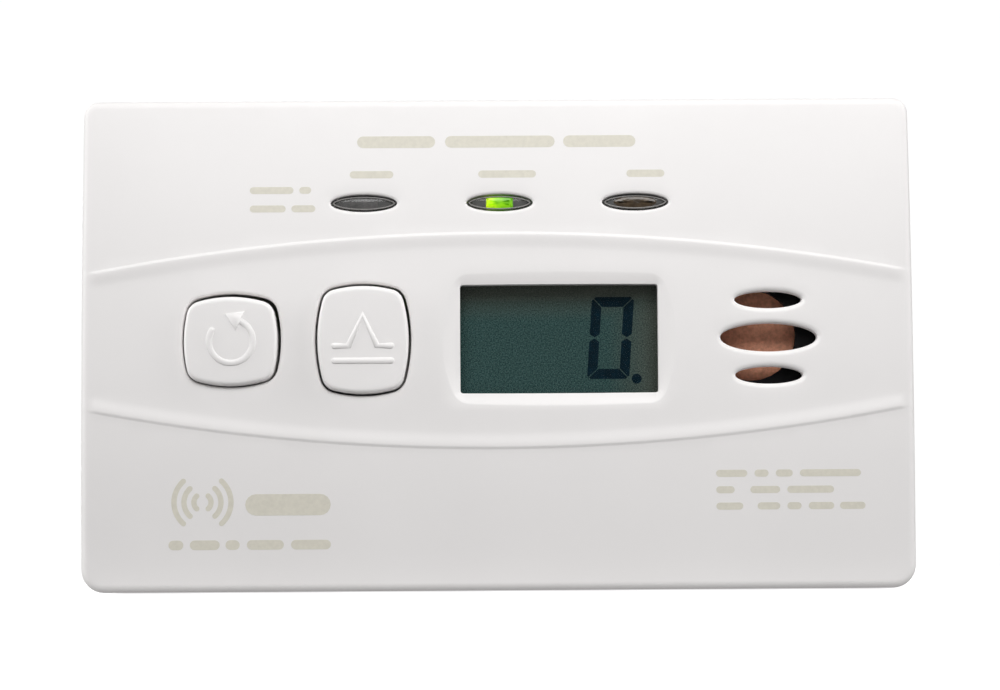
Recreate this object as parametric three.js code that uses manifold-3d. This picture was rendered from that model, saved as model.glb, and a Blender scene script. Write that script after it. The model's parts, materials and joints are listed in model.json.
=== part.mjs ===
// Battery-powered carbon monoxide alarm for a wall or a shelf, in millimetres.
// +Z is up, the display faces -Y, and the origin is the centre of the footprint it stands on.
import * as THREE from "three";
import { mergeVertices } from "three/addons/utils/BufferGeometryUtils.js";
import Module from "manifold-3d";

const wasm = await Module();
wasm.setup();

// ---------------------------------------------------------------- driving dimensions
const WIDTH = 118;
const HEIGHT = 70;
const DEPTH = 40;
const FRONT_Y = -DEPTH / 2; // the buttons' rims, the furthest point forward
const REAR_Y = DEPTH / 2; // the flat back that lies on the wall
const BUTTON_PROUD = 1.1;
const BAND_RECESS = 0.15;
const BAND_Y = FRONT_Y + BUTTON_PROUD; // the middle band of the front, where the controls are
const FACE_Y = BAND_Y - BAND_RECESS; // the front outside the band, at mid-height
const CROWN_RADIUS = 400; // the front bows forward from top to bottom
const MID_Z = HEIGHT / 2;
const FEATURE_Z = MID_Z + 0.4; // the line that the buttons, display and vents share
const EDGE_FILLET = 1.2;
const CORNER_TOP = 2.2;
const CORNER_BOTTOM = 3.2;
const COVER_DRAFT = 0.2;
const FRONT_WALL = 2.2;
const SIDE_WALL = 2;
const PARTING_Y = 6;
const PARTING_GAP = 0.3;
const FIT = 0.15; // clearance between pieces that are assembled face to face

// The band between the two long ridges.
const RIDGE_ARC = 305;
const RIDGE_HALF = 15.2; // from the feature line to a crest, at the middle
const RIDGE_OUTER = 0.4; // width of the steep flank outside a crest
const RIDGE_INNER = 1.6; // width of the gentle flank inside it
const RIDGE_HEIGHT = 0.35;
const RIDGE_END = 0.9; // how far from the case's side a ridge dies out

// Indicators, display, buttons and vents on the front.
const LED_NAMES = ["alarm", "operate", "fault"];
const LED_COLOURS = [0xb03028, 0x58b020, 0xc08a20];
const LED_PITCH = 19.25;
const LED_X = 0.4;
const LED_Z = MID_Z + 19.8;
const LED_WINDOW = { a: 4.7, b: 1.24 };
const DISPLAY_X = 8.7;
const DISPLAY = { a: 14, b: 7.72, side: 2000, cap: 2000, corner: 0.4 };
const DISPLAY_BEVEL = { a: 16.7, b: 9.55, side: 19, cap: 300, corner: 2.8 };
const DISPLAY_BEVEL_DEPTH = 1.3;
const BUTTON_GAP = 0.36;
const BUTTON_TRAVEL = 0.8;
const BUTTONS = [
  { name: "test", x: -37.55, drop: 0.12, a: 7, b: 6.72, side: 18.5, cap: 17, corner: 2.5 },
  { name: "peak", x: -18.98, drop: 0, a: 6.93, b: 8, side: 22, cap: 17, corner: 2.5 },
];
const VENT_X = 38.3;
const VENT_PITCH = 5.35;
const VENTS = [
  { dz: VENT_PITCH, a: 4.75, b: 1.18 },
  { dz: 0, a: 6.78, b: 1.98 },
  { dz: -VENT_PITCH, a: 4.75, b: 1.18 },
];

// Inside the case.
const BOARD_Y = -5; // front of the circuit board
const BOARD_THICK = 1.6;
const BOARD_BACK = BOARD_Y + BOARD_THICK;
const HORN = { x: 35.9, z: 35.9, outer: 10.6, throat: 6.5 };
const CELL = { radius: 8.4, length: 34.2, x: -22, y: 6.5 };
const CELL_ZS = [19, 37];
const CASE_SCREW_X = 51;
const CASE_SCREW_ZS = [8.5, 61.5];
const BOARD_SCREW_XS = [-50.5, 51.5];
const KEYHOLE_XS = [-30, 30];
const KEYHOLE = { z: 53, head: 4.3, slot: 2.1, rise: 7, floorY: 14 };
const SLIDER = { x: 22, z: 13, travel: 4 };

// ---------------------------------------------------------------- building blocks
const ABS = { color: 0xf0efee, roughness: 0.42, metalness: 0 };
const BLACK = { color: 0x161616, roughness: 0.5, metalness: 0 };
const NICKEL = { color: 0xb9bbbd, roughness: 0.3, metalness: 1 };
const CHIP = { color: 0x1c1c1e, roughness: 0.6, metalness: 0 };

const part = new THREE.Group();

// A closed geometry as a manifold-3d solid.
function solid(geometry) {
  const bare = geometry.clone();
  bare.deleteAttribute("normal");
  bare.deleteAttribute("uv");
  const merged = mergeVertices(bare, 1e-4);
  return new wasm.Manifold(
    new wasm.Mesh({
      numProp: 3,
      vertProperties: merged.attributes.position.array,
      triVerts: new Uint32Array(merged.index.array),
    }),
  );
}

// A manifold-3d solid as a named mesh in the part.
function add(name, body, look) {
  const { vertProperties, numProp, triVerts } = body.getMesh();
  const geometry = new THREE.BufferGeometry();
  const points = new Float32Array((vertProperties.length / numProp) * 3);
  for (let i = 0; i < points.length / 3; i++)
    points.set(vertProperties.subarray(i * numProp, i * numProp + 3), i * 3);
  geometry.setAttribute("position", new THREE.BufferAttribute(points, 3));
  geometry.setIndex([...triVerts]);
  geometry.computeVertexNormals();
  const mesh = new THREE.Mesh(geometry, new THREE.MeshStandardMaterial(look));
  mesh.name = name;
  part.add(mesh);
}

function unite(...bodies) {
  return bodies.reduce((whole, piece) => whole.add(piece));
}

function box(x0, x1, y0, y1, z0, z1) {
  const geometry = new THREE.BoxGeometry(x1 - x0, y1 - y0, z1 - z0);
  return solid(geometry.translate((x0 + x1) / 2, (y0 + y1) / 2, (z0 + z1) / 2));
}

// A rod along Y, from y0 back to y1.
function rod(radius, x, z, y0, y1, sides = 14) {
  const geometry = new THREE.CylinderGeometry(radius, radius, y1 - y0, sides);
  return solid(geometry.translate(x, (y0 + y1) / 2, z));
}

// A solid of revolution about a line along Y, from a closed profile of [radius, y] pairs.
function turned(profile, x, z, sides = 20) {
  const points = profile.map(([r, y]) => new THREE.Vector2(r, y));
  points.push(points[0].clone());
  const body = solid(new THREE.LatheGeometry(points, sides));
  return body.translate([x, 0, z]);
}

// A flat shape drawn in X and Z, extruded from y0 back to y1.
function plate(shape, y0, y1, curveSegments = 5) {
  const options = { depth: y1 - y0, bevelEnabled: false, curveSegments };
  const geometry = new THREE.ExtrudeGeometry(shape, options);
  return solid(geometry.rotateX(Math.PI / 2).translate(0, y1, 0));
}

function roundedRectangle(x0, x1, z0, z1, low, high = low) {
  const shape = new THREE.Shape();
  shape.moveTo(x0 + low, z0);
  shape.lineTo(x1 - low, z0);
  shape.absarc(x1 - low, z0 + low, low, -Math.PI / 2, 0);
  shape.lineTo(x1, z1 - high);
  shape.absarc(x1 - high, z1 - high, high, 0, Math.PI / 2);
  shape.lineTo(x0 + high, z1);
  shape.absarc(x0 + high, z1 - high, high, Math.PI / 2, Math.PI);
  shape.lineTo(x0, z0 + low);
  shape.absarc(x0 + low, z0 + low, low, Math.PI, Math.PI * 1.5);
  return shape;
}

function roundedPlate(x0, x1, z0, z1, corner, y0, y1) {
  return plate(roundedRectangle(x0, x1, z0, z1, corner), y0, y1, 3);
}

// Joins rings of equal length, front to back, into a closed solid; the ends are fans.
function loft(rings) {
  const count = rings[0].length;
  const points = rings.flat(2);
  const index = [];
  for (let r = 0; r + 1 < rings.length; r++)
    for (let i = 0; i < count; i++) {
      const a = r * count + i;
      const b = r * count + ((i + 1) % count);
      index.push(a, b, a + count, b, b + count, a + count);
    }
  for (const [ring, front] of [[0, true], [rings.length - 1, false]]) {
    const centre = points.length / 3;
    const sum = rings[ring].reduce((s, p) => s.map((v, k) => v + p[k] / count), [0, 0, 0]);
    points.push(...sum);
    for (let i = 0; i < count; i++) {
      const a = ring * count + i;
      const b = ring * count + ((i + 1) % count);
      if (front) index.push(centre, b, a);
      else index.push(centre, a, b);
    }
  }
  const geometry = new THREE.BufferGeometry();
  geometry.setAttribute("position", new THREE.Float32BufferAttribute(points, 3));
  geometry.setIndex(index);
  const body = solid(geometry);
  if (body.volume() > 0) return body;
  const turnedOut = geometry.clone();
  turnedOut.setIndex(index.reverse());
  return solid(turnedOut);
}

// A four-sided outline with bowed sides and round corners, grown by offset, in X and Z.
// Each side is an arc about a centre on its own axis, and each corner an arc tangent to two of them.
function pillow({ a, b, side, cap, corner }, offset = 0, steps = 2) {
  const sideX = a - side;
  const capZ = b - cap;
  const reach = Math.hypot(sideX, capZ);
  const [r1, r2] = [side - corner, cap - corner];
  const along = (r1 * r1 - r2 * r2 + reach * reach) / (2 * reach);
  const off = Math.sqrt(r1 * r1 - along * along);
  const [ux, uz] = [-sideX / reach, capZ / reach];
  const cornerX = sideX + along * ux - off * uz;
  const cornerZ = along * uz + off * ux;
  const start = Math.atan2(cornerZ, cornerX - sideX);
  const stop = Math.atan2(cornerZ - capZ, cornerX);
  const quarter = [];
  const arc = (x, z, radius, from, to) => {
    for (let i = 0; i < steps; i++) {
      const angle = from + ((to - from) * i) / steps;
      quarter.push([x + radius * Math.cos(angle), z + radius * Math.sin(angle)]);
    }
  };
  arc(sideX, 0, side + offset, 0, start);
  arc(cornerX, cornerZ, corner + offset, start, stop);
  arc(0, capZ, cap + offset, stop, Math.PI / 2);
  const turns = [
    quarter,
    [[0, b + offset], ...quarter.slice(1).reverse().map(([x, z]) => [-x, z])],
    quarter.map(([x, z]) => [-x, -z]),
    [[0, -b - offset], ...quarter.slice(1).reverse().map(([x, z]) => [x, -z])],
  ];
  return turns.flat();
}

function ellipse({ a, b }, offset = 0, sides = 18) {
  const ring = [];
  for (let i = 0; i < sides; i++) {
    const angle = (2 * Math.PI * i) / sides;
    ring.push([(a + offset) * Math.cos(angle), (b + offset) * Math.sin(angle)]);
  }
  return ring;
}

function at(outline, x, z, y) {
  return outline.map(([px, pz]) => [x + px, y, z + pz]);
}

// ---------------------------------------------------------------- front of the case
function crown(z) {
  return (z - MID_Z) ** 2 / (2 * CROWN_RADIUS);
}

function crestHeight(x) {
  return RIDGE_HALF - (RIDGE_ARC - Math.sqrt(RIDGE_ARC ** 2 - x ** 2));
}

// How far the outer front stands behind (+) or in front of (-) its plain crown.
function ridge(x, z) {
  const past = Math.abs(z - FEATURE_Z) - crestHeight(x);
  const fade = THREE.MathUtils.clamp((WIDTH / 2 - Math.abs(x) - RIDGE_END) / 0.5, 0, 1);
  if (past >= RIDGE_OUTER) return 0;
  if (past >= 0) return -RIDGE_HEIGHT * fade * (1 - past / RIDGE_OUTER);
  const down = Math.min(-past / RIDGE_INNER, 1);
  return fade * (-RIDGE_HEIGHT + (RIDGE_HEIGHT + BAND_RECESS) * down);
}

function spread(from, to, steps) {
  return Array.from({ length: steps + 1 }, (_, i) => from + ((to - from) * i) / steps);
}

// A block with rounded corners and a rounded front edge, whose front follows face(x, z).
function frontBlock({ half, low, high, cornerLow, cornerHigh, fillet, draft, face, rows, backY, pitch }) {
  const inner = half - fillet;
  const arcLow = cornerLow - fillet;
  const arcHigh = cornerHigh - fillet;
  const edge = (x, arc, z0, side) => {
    const into = Math.abs(x) - (inner - arc);
    if (into <= 0) return { z: z0, n: [0, side] };
    const rise = Math.sqrt(Math.max(arc * arc - into * into, 0));
    return { z: z0 - side * (arc - rise), n: [(Math.sign(x) * into) / arc, (side * rise) / arc] };
  };
  const bend = [0, 30, 60].map((t) => inner - arcLow * (1 - Math.cos((t * Math.PI) / 180)));
  const flat = spread(-(inner - arcLow), inner - arcLow, Math.round((2 * inner) / pitch));
  const stations = [...bend.map((x) => -x), ...flat, ...bend.slice().reverse()];
  const columns = stations.map((x) => {
    const bottom = edge(x, arcLow, low + fillet, -1);
    const top = edge(x, arcHigh, high - fillet, 1);
    return { x, bottom, top, zs: rows(x, bottom.z, top.z) };
  });
  const points = [];
  const grid = columns.map(({ x, zs }) =>
    zs.map((z) => points.push([x, face(x, z), z]) - 1),
  );
  const last = grid[0].length - 1;
  const index = [];
  for (let i = 0; i + 1 < grid.length; i++)
    for (let j = 0; j < last; j++) {
      const [a, b, c, d] = [grid[i][j], grid[i + 1][j], grid[i + 1][j + 1], grid[i][j + 1]];
      index.push([a, b, c], [a, c, d]);
    }
  const end = columns.length - 1;
  const loop = [
    ...columns.map((c, i) => [grid[i][0], c.bottom.n]),
    ...grid[end].slice(1, last).map((p) => [p, [1, 0]]),
    ...columns.map((c, i) => [grid[i][last], c.top.n]).reverse(),
    ...grid[0].slice(1, last).map((p) => [p, [-1, 0]]).reverse(),
  ];
  loop[0][1] = loop.at(-1)[1];
  const rings = [loop.map(([p]) => p)];
  const grow = (out, y) => {
    const ring = loop.map(([p, [nx, nz]]) => {
      const [x, z] = [points[p][0] + nx * out, points[p][2] + nz * Math.min(out, nz < 0 ? fillet : out)];
      return points.push([x, y(points[p][1]), z]) - 1;
    });
    rings.push(ring);
  };
  for (const angle of [40, 90].map(THREE.MathUtils.degToRad))
    grow(fillet * Math.sin(angle), (y) => y + fillet * (1 - Math.cos(angle)));
  grow(fillet + draft, () => backY);
  for (let r = 0; r + 1 < rings.length; r++)
    rings[r].forEach((a, i) => {
      const next = (i + 1) % loop.length;
      index.push([a, rings[r + 1][i], rings[r][next]]);
      index.push([rings[r][next], rings[r + 1][i], rings[r + 1][next]]);
    });
  const centre = points.push([0, backY, (low + high) / 2]) - 1;
  rings.at(-1).forEach((a, i) => index.push([a, centre, rings.at(-1)[(i + 1) % loop.length]]));
  const geometry = new THREE.BufferGeometry();
  geometry.setAttribute("position", new THREE.Float32BufferAttribute(points.flat(), 3));
  geometry.setIndex(index.flat());
  return solid(geometry);
}

function ridgedRows(x, bottom, top) {
  const crest = crestHeight(x);
  const [down, up] = [FEATURE_Z - crest, FEATURE_Z + crest];
  return [
    ...spread(bottom, down - RIDGE_OUTER, 2),
    down,
    ...spread(down + RIDGE_INNER, up - RIDGE_INNER, 3),
    up,
    ...spread(up + RIDGE_OUTER, top, 2),
  ];
}

function coverOuter() {
  return frontBlock({
    half: WIDTH / 2 - COVER_DRAFT,
    low: 0,
    high: HEIGHT - COVER_DRAFT,
    cornerLow: CORNER_BOTTOM,
    cornerHigh: CORNER_TOP,
    fillet: EDGE_FILLET,
    draft: COVER_DRAFT,
    face: (x, z) => FACE_Y + crown(z) + ridge(x, z),
    rows: ridgedRows,
    backY: PARTING_Y,
    pitch: 11,
  });
}

function coverCavity() {
  return frontBlock({
    half: WIDTH / 2 - SIDE_WALL - COVER_DRAFT,
    low: SIDE_WALL,
    high: HEIGHT - SIDE_WALL - COVER_DRAFT,
    cornerLow: 1.6,
    cornerHigh: 1.6,
    fillet: 0.6,
    draft: COVER_DRAFT,
    face: (x, z) => FACE_Y + FRONT_WALL + crown(z),
    rows: (x, bottom, top) => spread(bottom, top, 6),
    backY: PARTING_Y + 1,
    pitch: 60,
  });
}

// A hole right through the front wall with a lip that widens towards the face.
function lippedHole(outline, x, z, lip, lipDepth, faceY) {
  const front = faceY - 0.6;
  const flare = (lip * (faceY + lipDepth - front)) / lipDepth;
  return loft([
    at(outline(flare), x, z, front),
    at(outline(0), x, z, faceY + lipDepth),
    at(outline(0), x, z, faceY + FRONT_WALL + 1),
  ]);
}

function displayOpening() {
  const front = BAND_Y - 0.5;
  const beyond = 0.5 / DISPLAY_BEVEL_DEPTH;
  const wide = pillow(DISPLAY_BEVEL);
  const narrow = pillow(DISPLAY);
  const outer = wide.map(([x, z], i) => [
    x + (x - narrow[i][0]) * beyond,
    z + (z - narrow[i][1]) * beyond,
  ]);
  return loft([
    at(outer, DISPLAY_X, FEATURE_Z, front),
    at(narrow, DISPLAY_X, FEATURE_Z, BAND_Y + DISPLAY_BEVEL_DEPTH),
    at(narrow, DISPLAY_X, FEATURE_Z, FACE_Y + FRONT_WALL + 1),
  ]);
}

const COLLAR_BACK = -13.4;

function buttonCollar(button) {
  const ring = (offset, y) => at(pillow(button, offset), button.x, FEATURE_Z, y);
  return loft([ring(1.2, BAND_Y + 1.5), ring(1.2, COLLAR_BACK)]);
}

function buttonHole(button) {
  const ring = (offset, y) => at(pillow(button, offset), button.x, FEATURE_Z, y);
  return loft([
    ring(0.75, BAND_Y - 0.5),
    ring(0, BAND_Y + 0.5),
    ring(0, COLLAR_BACK + 1),
  ]);
}

// Where the case screws hold the cover, and where the board is held to it.
const BOSS_FRONT = FACE_Y + FRONT_WALL - 0.6;
const caseScrewPlaces = CASE_SCREW_ZS.flatMap((z) => [
  [-CASE_SCREW_X, z],
  [CASE_SCREW_X, z],
]);
const boardScrewPlaces = BOARD_SCREW_XS.map((x) => [x, MID_Z]);

function makeFrontCover() {
  let cover = coverOuter().subtract(coverCavity());
  for (const [x, z] of caseScrewPlaces) {
    cover = cover.add(rod(3.6, x, z, BOSS_FRONT, PARTING_Y - 0.4));
    cover = cover.subtract(rod(1.5, x, z, -8, PARTING_Y, 12));
  }
  for (const [x, z] of boardScrewPlaces) {
    cover = cover.add(rod(2.8, x, z, BOSS_FRONT, BOARD_Y - FIT));
    cover = cover.subtract(rod(1.2, x, z, -12, BOARD_Y, 12));
  }
  for (const button of BUTTONS) cover = cover.add(buttonCollar(button));
  for (const button of BUTTONS) cover = cover.subtract(buttonHole(button));
  cover = cover.subtract(displayOpening());
  LED_NAMES.forEach((name, i) => {
    const x = LED_X + (i - 1) * LED_PITCH;
    const outline = (offset) => ellipse(LED_WINDOW, offset);
    cover = cover.subtract(lippedHole(outline, x, LED_Z, 0.6, 0.5, FACE_Y + crown(LED_Z)));
  });
  for (const vent of VENTS) {
    const outline = (offset) => ellipse(vent, offset);
    cover = cover.subtract(lippedHole(outline, VENT_X, FEATURE_Z + vent.dz, 0.95, 0.7, BAND_Y));
  }
  add("front_cover", cover, ABS);
}

// ---------------------------------------------------------------- buttons and their switches
const SWITCH_TOP = -8.5;
const PLUNGER_TOP = SWITCH_TOP - BUTTON_TRAVEL - 0.7;
const SKIRT_BACK = COLLAR_BACK + FIT;

function makeButton(button) {
  const z = FEATURE_Z - button.drop;
  const ring = (offset, y) => at(pillow(button, offset - BUTTON_GAP), button.x, z, y);
  const cap = loft([
    ring(-2.6, FRONT_Y + 0.3),
    ring(-0.75, FRONT_Y),
    ring(-0.3, FRONT_Y + 0.2),
    ring(0, FRONT_Y + 0.75),
    ring(0, SKIRT_BACK + 0.1),
  ]);
  const flange = loft([ring(1.4, SKIRT_BACK), ring(1.4, SKIRT_BACK + 1)]);
  const hollow = loft([ring(-1.3, FRONT_Y + 2), ring(-1.3, SKIRT_BACK + 2)]);
  const stem = rod(2, button.x, FEATURE_Z, FRONT_Y + 1.5, PLUNGER_TOP - FIT, 16);
  add(`${button.name}_button`, unite(cap, flange).subtract(hollow).add(stem), ABS);
}

function makeSwitch(button) {
  const well = rod(1.9, button.x, FEATURE_Z, SWITCH_TOP - 1, SWITCH_TOP + 2.4, 16);
  const body = box(
    button.x - 3,
    button.x + 3,
    SWITCH_TOP,
    BOARD_Y - 0.05,
    FEATURE_Z - 3,
    FEATURE_Z + 3,
  );
  add(`${button.name}_switch_body`, body.subtract(well), CHIP);
  const plunger = rod(1.75, button.x, FEATURE_Z, PLUNGER_TOP, SWITCH_TOP + 1.2, 16);
  add(`${button.name}_switch_plunger`, plunger, { color: 0x2b2b2d, roughness: 0.5 });
}

// ---------------------------------------------------------------- display and indicators
const WINDOW_FRONT = -16.6;
const WINDOW_THICK = 1.2;
const PANEL_FRONT = -15.2;
const PANEL_THICK = 2.6;
const PANEL = { a: 15.1, b: 9.2 };

function displayBox(a, b, y0, y1) {
  return box(DISPLAY_X - a, DISPLAY_X + a, y0, y1, FEATURE_Z - b, FEATURE_Z + b);
}

function makeDisplay() {
  const windowBack = WINDOW_FRONT + WINDOW_THICK;
  add("display_window", displayBox(15.8, 9.4, WINDOW_FRONT, windowBack), {
    color: 0xdfe6e4,
    roughness: 0.08,
    transparent: true,
    opacity: 0.35,
  });
  const panelBack = PANEL_FRONT + PANEL_THICK;
  const ledge = 0.8; // the lower glass stands out below the upper one, for the contacts
  const upper = displayBox(PANEL.a, PANEL.b - ledge, PANEL_FRONT, PANEL_FRONT + 1.4);
  const lower = displayBox(PANEL.a, PANEL.b, PANEL_FRONT + 1.3, panelBack);
  add("lcd_panel", unite(upper, lower), { color: 0x33463f, roughness: 0.25 });
  const boardFace = BOARD_Y - 0.1;
  const frame = displayBox(PANEL.a + 1.1, PANEL.b + 1.4, PANEL_FRONT, boardFace)
    .subtract(displayBox(PANEL.a + FIT, PANEL.b + FIT, PANEL_FRONT - 1, panelBack + FIT))
    .subtract(displayBox(PANEL.a - 1, PANEL.b - 0.2, PANEL_FRONT, BOARD_Y + 1));
  add("lcd_frame", frame, ABS);
  const stripZ = PANEL.b - 1.6;
  for (const [name, side] of [["upper", 1], ["lower", -1]]) {
    const z = FEATURE_Z + side * stripZ;
    const strip = box(DISPLAY_X - 13.5, DISPLAY_X + 13.5, panelBack + 0.1, boardFace, z - 1, z + 1);
    add(`lcd_contact_strip_${name}`, strip, { color: 0x3a3a3c, roughness: 0.8 });
  }
}

function makeIndicator(name, colour, x) {
  const faceY = FACE_Y + crown(LED_Z);
  const wallBack = FACE_Y + FRONT_WALL + crown(LED_Z + 3);
  const ring = (offset, y) => at(ellipse(LED_WINDOW, offset), x, LED_Z, y);
  const lens = unite(
    loft([
      ring(-0.75, faceY + 0.25),
      ring(-0.3, faceY + 0.35),
      ring(-0.08, faceY + 0.6),
      ring(-0.08, wallBack + 0.5),
    ]),
    loft([ring(0.9, wallBack + 0.1), ring(0.9, wallBack + 1.1)]),
  );
  add(`${name}_lens`, lens, { color: 0x55585a, roughness: 0.1, transparent: true, opacity: 0.55 });
  const tip = wallBack + 1.35;
  const bulb = turned(
    [
      [0, tip],
      [0.8, tip + 0.2],
      [1.35, tip + 0.7],
      [1.5, tip + 1.5],
      [1.5, tip + 4.2],
      [1.9, tip + 4.2],
      [1.9, tip + 5.2],
      [0, tip + 5.2],
    ],
    x,
    LED_Z,
    16,
  );
  const leg = (side) => {
    const legX = x + side * 1.27;
    return box(legX - 0.25, legX + 0.25, tip + 5, BOARD_Y - 0.05, LED_Z - 0.25, LED_Z + 0.25);
  };
  add(`${name}_led`, unite(bulb, leg(-1), leg(1)), { color: colour, roughness: 0.2 });
}

// ---------------------------------------------------------------- sounder and gas sensor
const HORN_FRONT = -16.2;
const HORN_PLATE_BACK = HORN_FRONT + 1;
const DIAPHRAGM_Y = HORN_PLATE_BACK + 1.5; // leaves the shallow chamber in front of the diaphragm
const DIAPHRAGM_THICK = 0.3;

function makeHorn() {
  const { x, z, outer, throat } = HORN;
  const back = BOARD_Y - 0.1;
  const ledge = DIAPHRAGM_Y - FIT;
  const cup = turned(
    [
      [throat, HORN_FRONT],
      [outer - 1, HORN_FRONT],
      [outer, HORN_PLATE_BACK],
      [outer, back],
      [outer - 1.3, back],
      [outer - 1.3, ledge],
      [outer - 2.2, ledge],
      [outer - 2.2, HORN_PLATE_BACK],
      [throat, HORN_PLATE_BACK],
    ],
    x,
    z,
    28,
  );
  add("horn_housing", cup, BLACK);
  const diaphragmBack = DIAPHRAGM_Y + DIAPHRAGM_THICK;
  const brass = { color: 0x8a6248, roughness: 0.4, metalness: 0.6 };
  add("piezo_diaphragm", rod(outer - 1.5, x, z, DIAPHRAGM_Y, diaphragmBack, 28), brass);
  const ceramic = { color: 0xd8d2c0, roughness: 0.5 };
  const ceramicFront = diaphragmBack + 0.05;
  add("piezo_ceramic", rod(6.6, x, z, ceramicFront, ceramicFront + 0.3, 24), ceramic);
  const clampFront = diaphragmBack + 0.1;
  const clamp = turned(
    [
      [outer - 3.2, clampFront],
      [outer - 1.5, clampFront],
      [outer - 1.5, back - 0.1],
      [outer - 3.2, back - 0.1],
    ],
    x,
    z,
    28,
  );
  add("horn_clamp_ring", clamp, BLACK);
}

const SENSOR = { x: 40, z: 14, radius: 7.4, top: -15.4 };

function makeSensor() {
  const { x, z, radius, top } = SENSOR;
  const body = unite(
    turned(
      [
        [0, top + 1.2],
        [radius - 0.6, top + 1.2],
        [radius, top + 1.8],
        [radius, BOARD_Y - 1],
        [0, BOARD_Y - 1],
      ],
      x,
      z,
      24,
    ),
    ...[90, 210, 330].map((t) => {
      const angle = THREE.MathUtils.degToRad(t);
      return rod(0.6, x + 5 * Math.cos(angle), z + 5 * Math.sin(angle), BOARD_Y - 1.2, BOARD_Y - 0.05, 8);
    }),
  );
  add("co_sensor_cell", body, { color: 0xe6e4dc, roughness: 0.45 });
  const cap = turned(
    [
      [1.3, top],
      [radius - 1.2, top],
      [radius - 0.7, top + 0.4],
      [radius - 0.7, top + 1.1],
      [1.3, top + 1.1],
    ],
    x,
    z,
    24,
  );
  add("co_sensor_cap", cap, NICKEL);
}

// ---------------------------------------------------------------- circuit board
function makeBoard() {
  const [x, z0, z1, notch] = [53.4, 5, 64.6, 8.6];
  const outline = new THREE.Shape();
  outline.moveTo(-x + notch, z0);
  outline.lineTo(x - notch, z0);
  outline.lineTo(x - notch, z0 + notch);
  outline.lineTo(x, z0 + notch);
  outline.lineTo(x, z1 - notch);
  outline.lineTo(x - notch, z1 - notch);
  outline.lineTo(x - notch, z1);
  outline.lineTo(-x + notch, z1);
  outline.lineTo(-x + notch, z1 - notch);
  outline.lineTo(-x, z1 - notch);
  outline.lineTo(-x, z0 + notch);
  outline.lineTo(-x + notch, z0 + notch);
  for (const [holeX, holeZ] of boardScrewPlaces) {
    const hole = new THREE.Path();
    hole.absarc(holeX, holeZ, 1.3, 0, 2 * Math.PI, true);
    outline.holes.push(hole);
  }
  add("circuit_board", plate(outline, BOARD_Y, BOARD_BACK, 6), { color: 0x1f5a34, roughness: 0.5 });
}

// A chip with legs on its left and right sides, on the back of the board.
function makeChip(name, x, z, halfX, halfZ, legs) {
  const face = BOARD_BACK + 0.05;
  const body = box(x - halfX, x + halfX, face + 0.15, face + 1.6, z - halfZ, z + halfZ);
  const pitch = (2 * halfZ) / legs;
  const pins = spread(z - halfZ + pitch / 2, z + halfZ - pitch / 2, legs - 1).map((legZ) =>
    box(x - halfX - 1, x + halfX + 1, face, face + 0.4, legZ - 0.2, legZ + 0.2),
  );
  add(name, unite(body, ...pins), CHIP);
}

function makeElectronics() {
  makeChip("microcontroller", 8, 50, 3.8, 5.2, 8);
  makeChip("sensor_amplifier", 40, 20, 2, 2.5, 4);
  const face = BOARD_BACK + 0.05;
  const can = turned(
    [
      [0, face],
      [3.15, face],
      [3.15, face + 1.2],
      [2.95, face + 1.5],
      [3.15, face + 1.8],
      [3.15, face + 7.5],
      [0, face + 7.5],
    ],
    46,
    55,
    20,
  );
  add("reservoir_capacitor", can, { color: 0x22262c, roughness: 0.35 });
  const coil = turned(
    [
      [0, face],
      [4, face],
      [4, face + 0.9],
      [3, face + 0.9],
      [3, face + 3.6],
      [4, face + 3.6],
      [4, face + 4.5],
      [0, face + 4.5],
    ],
    34,
    46,
    20,
  );
  add("horn_boost_coil", coil, { color: 0x303236, roughness: 0.7 });
  const crystal = roundedPlate(18, 23, 54, 56.4, 1.1, face, face + 1.2);
  add("timing_crystal", crystal, NICKEL);
}

// ---------------------------------------------------------------- sealed lithium battery
function makeCell(number, z) {
  const { radius, length, x, y } = CELL;
  const end = length / 2;
  const profile = [
    [0, -end],
    [radius - 0.5, -end],
    [radius, -end + 0.5],
    [radius, end - 1.2],
    [radius - 0.7, end - 0.5],
    [3.2, end - 0.5],
    [3.2, end],
    [0, end],
  ];
  const points = profile.map(([r, along]) => new THREE.Vector2(r, along));
  points.push(points[0].clone());
  const geometry = new THREE.LatheGeometry(points, 20);
  geometry.rotateZ(Math.PI / 2).translate(x, y, z);
  add(`lithium_cell_${number}`, solid(geometry), { color: 0x2c5f9e, roughness: 0.35 });
}

// A nickel strip across both cells' ends, with a tail that runs forward to the board.
function makeStrip(name, side) {
  const end = CELL.x + side * (CELL.length / 2 + 0.15);
  const [x0, x1] = side < 0 ? [end - 0.25, end] : [end, end + 0.25];
  const [low, high] = CELL_ZS;
  const strap = box(x0, x1, CELL.y - 2, CELL.y + 2, low - 3, high + 3);
  const tail = box(x0, x1, BOARD_BACK + 0.05, CELL.y, high - 2.5, high + 2.5);
  add(name, unite(strap, tail), NICKEL);
}

function makeBattery() {
  CELL_ZS.forEach((z, i) => makeCell(i + 1, z));
  makeStrip("battery_strip_positive", -1);
  makeStrip("battery_strip_negative", 1);
}

// ---------------------------------------------------------------- back of the case
const HOUSING_FRONT = PARTING_Y + PARTING_GAP;
const HOUSING_STEP = 0.25; // the back is this much smaller than the cover, except underneath
const REAR_WALL = 2.2;
const HOUSING_WALL = 2.75;
const HOUSING_INNER_Y = REAR_Y - REAR_WALL;

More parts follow.
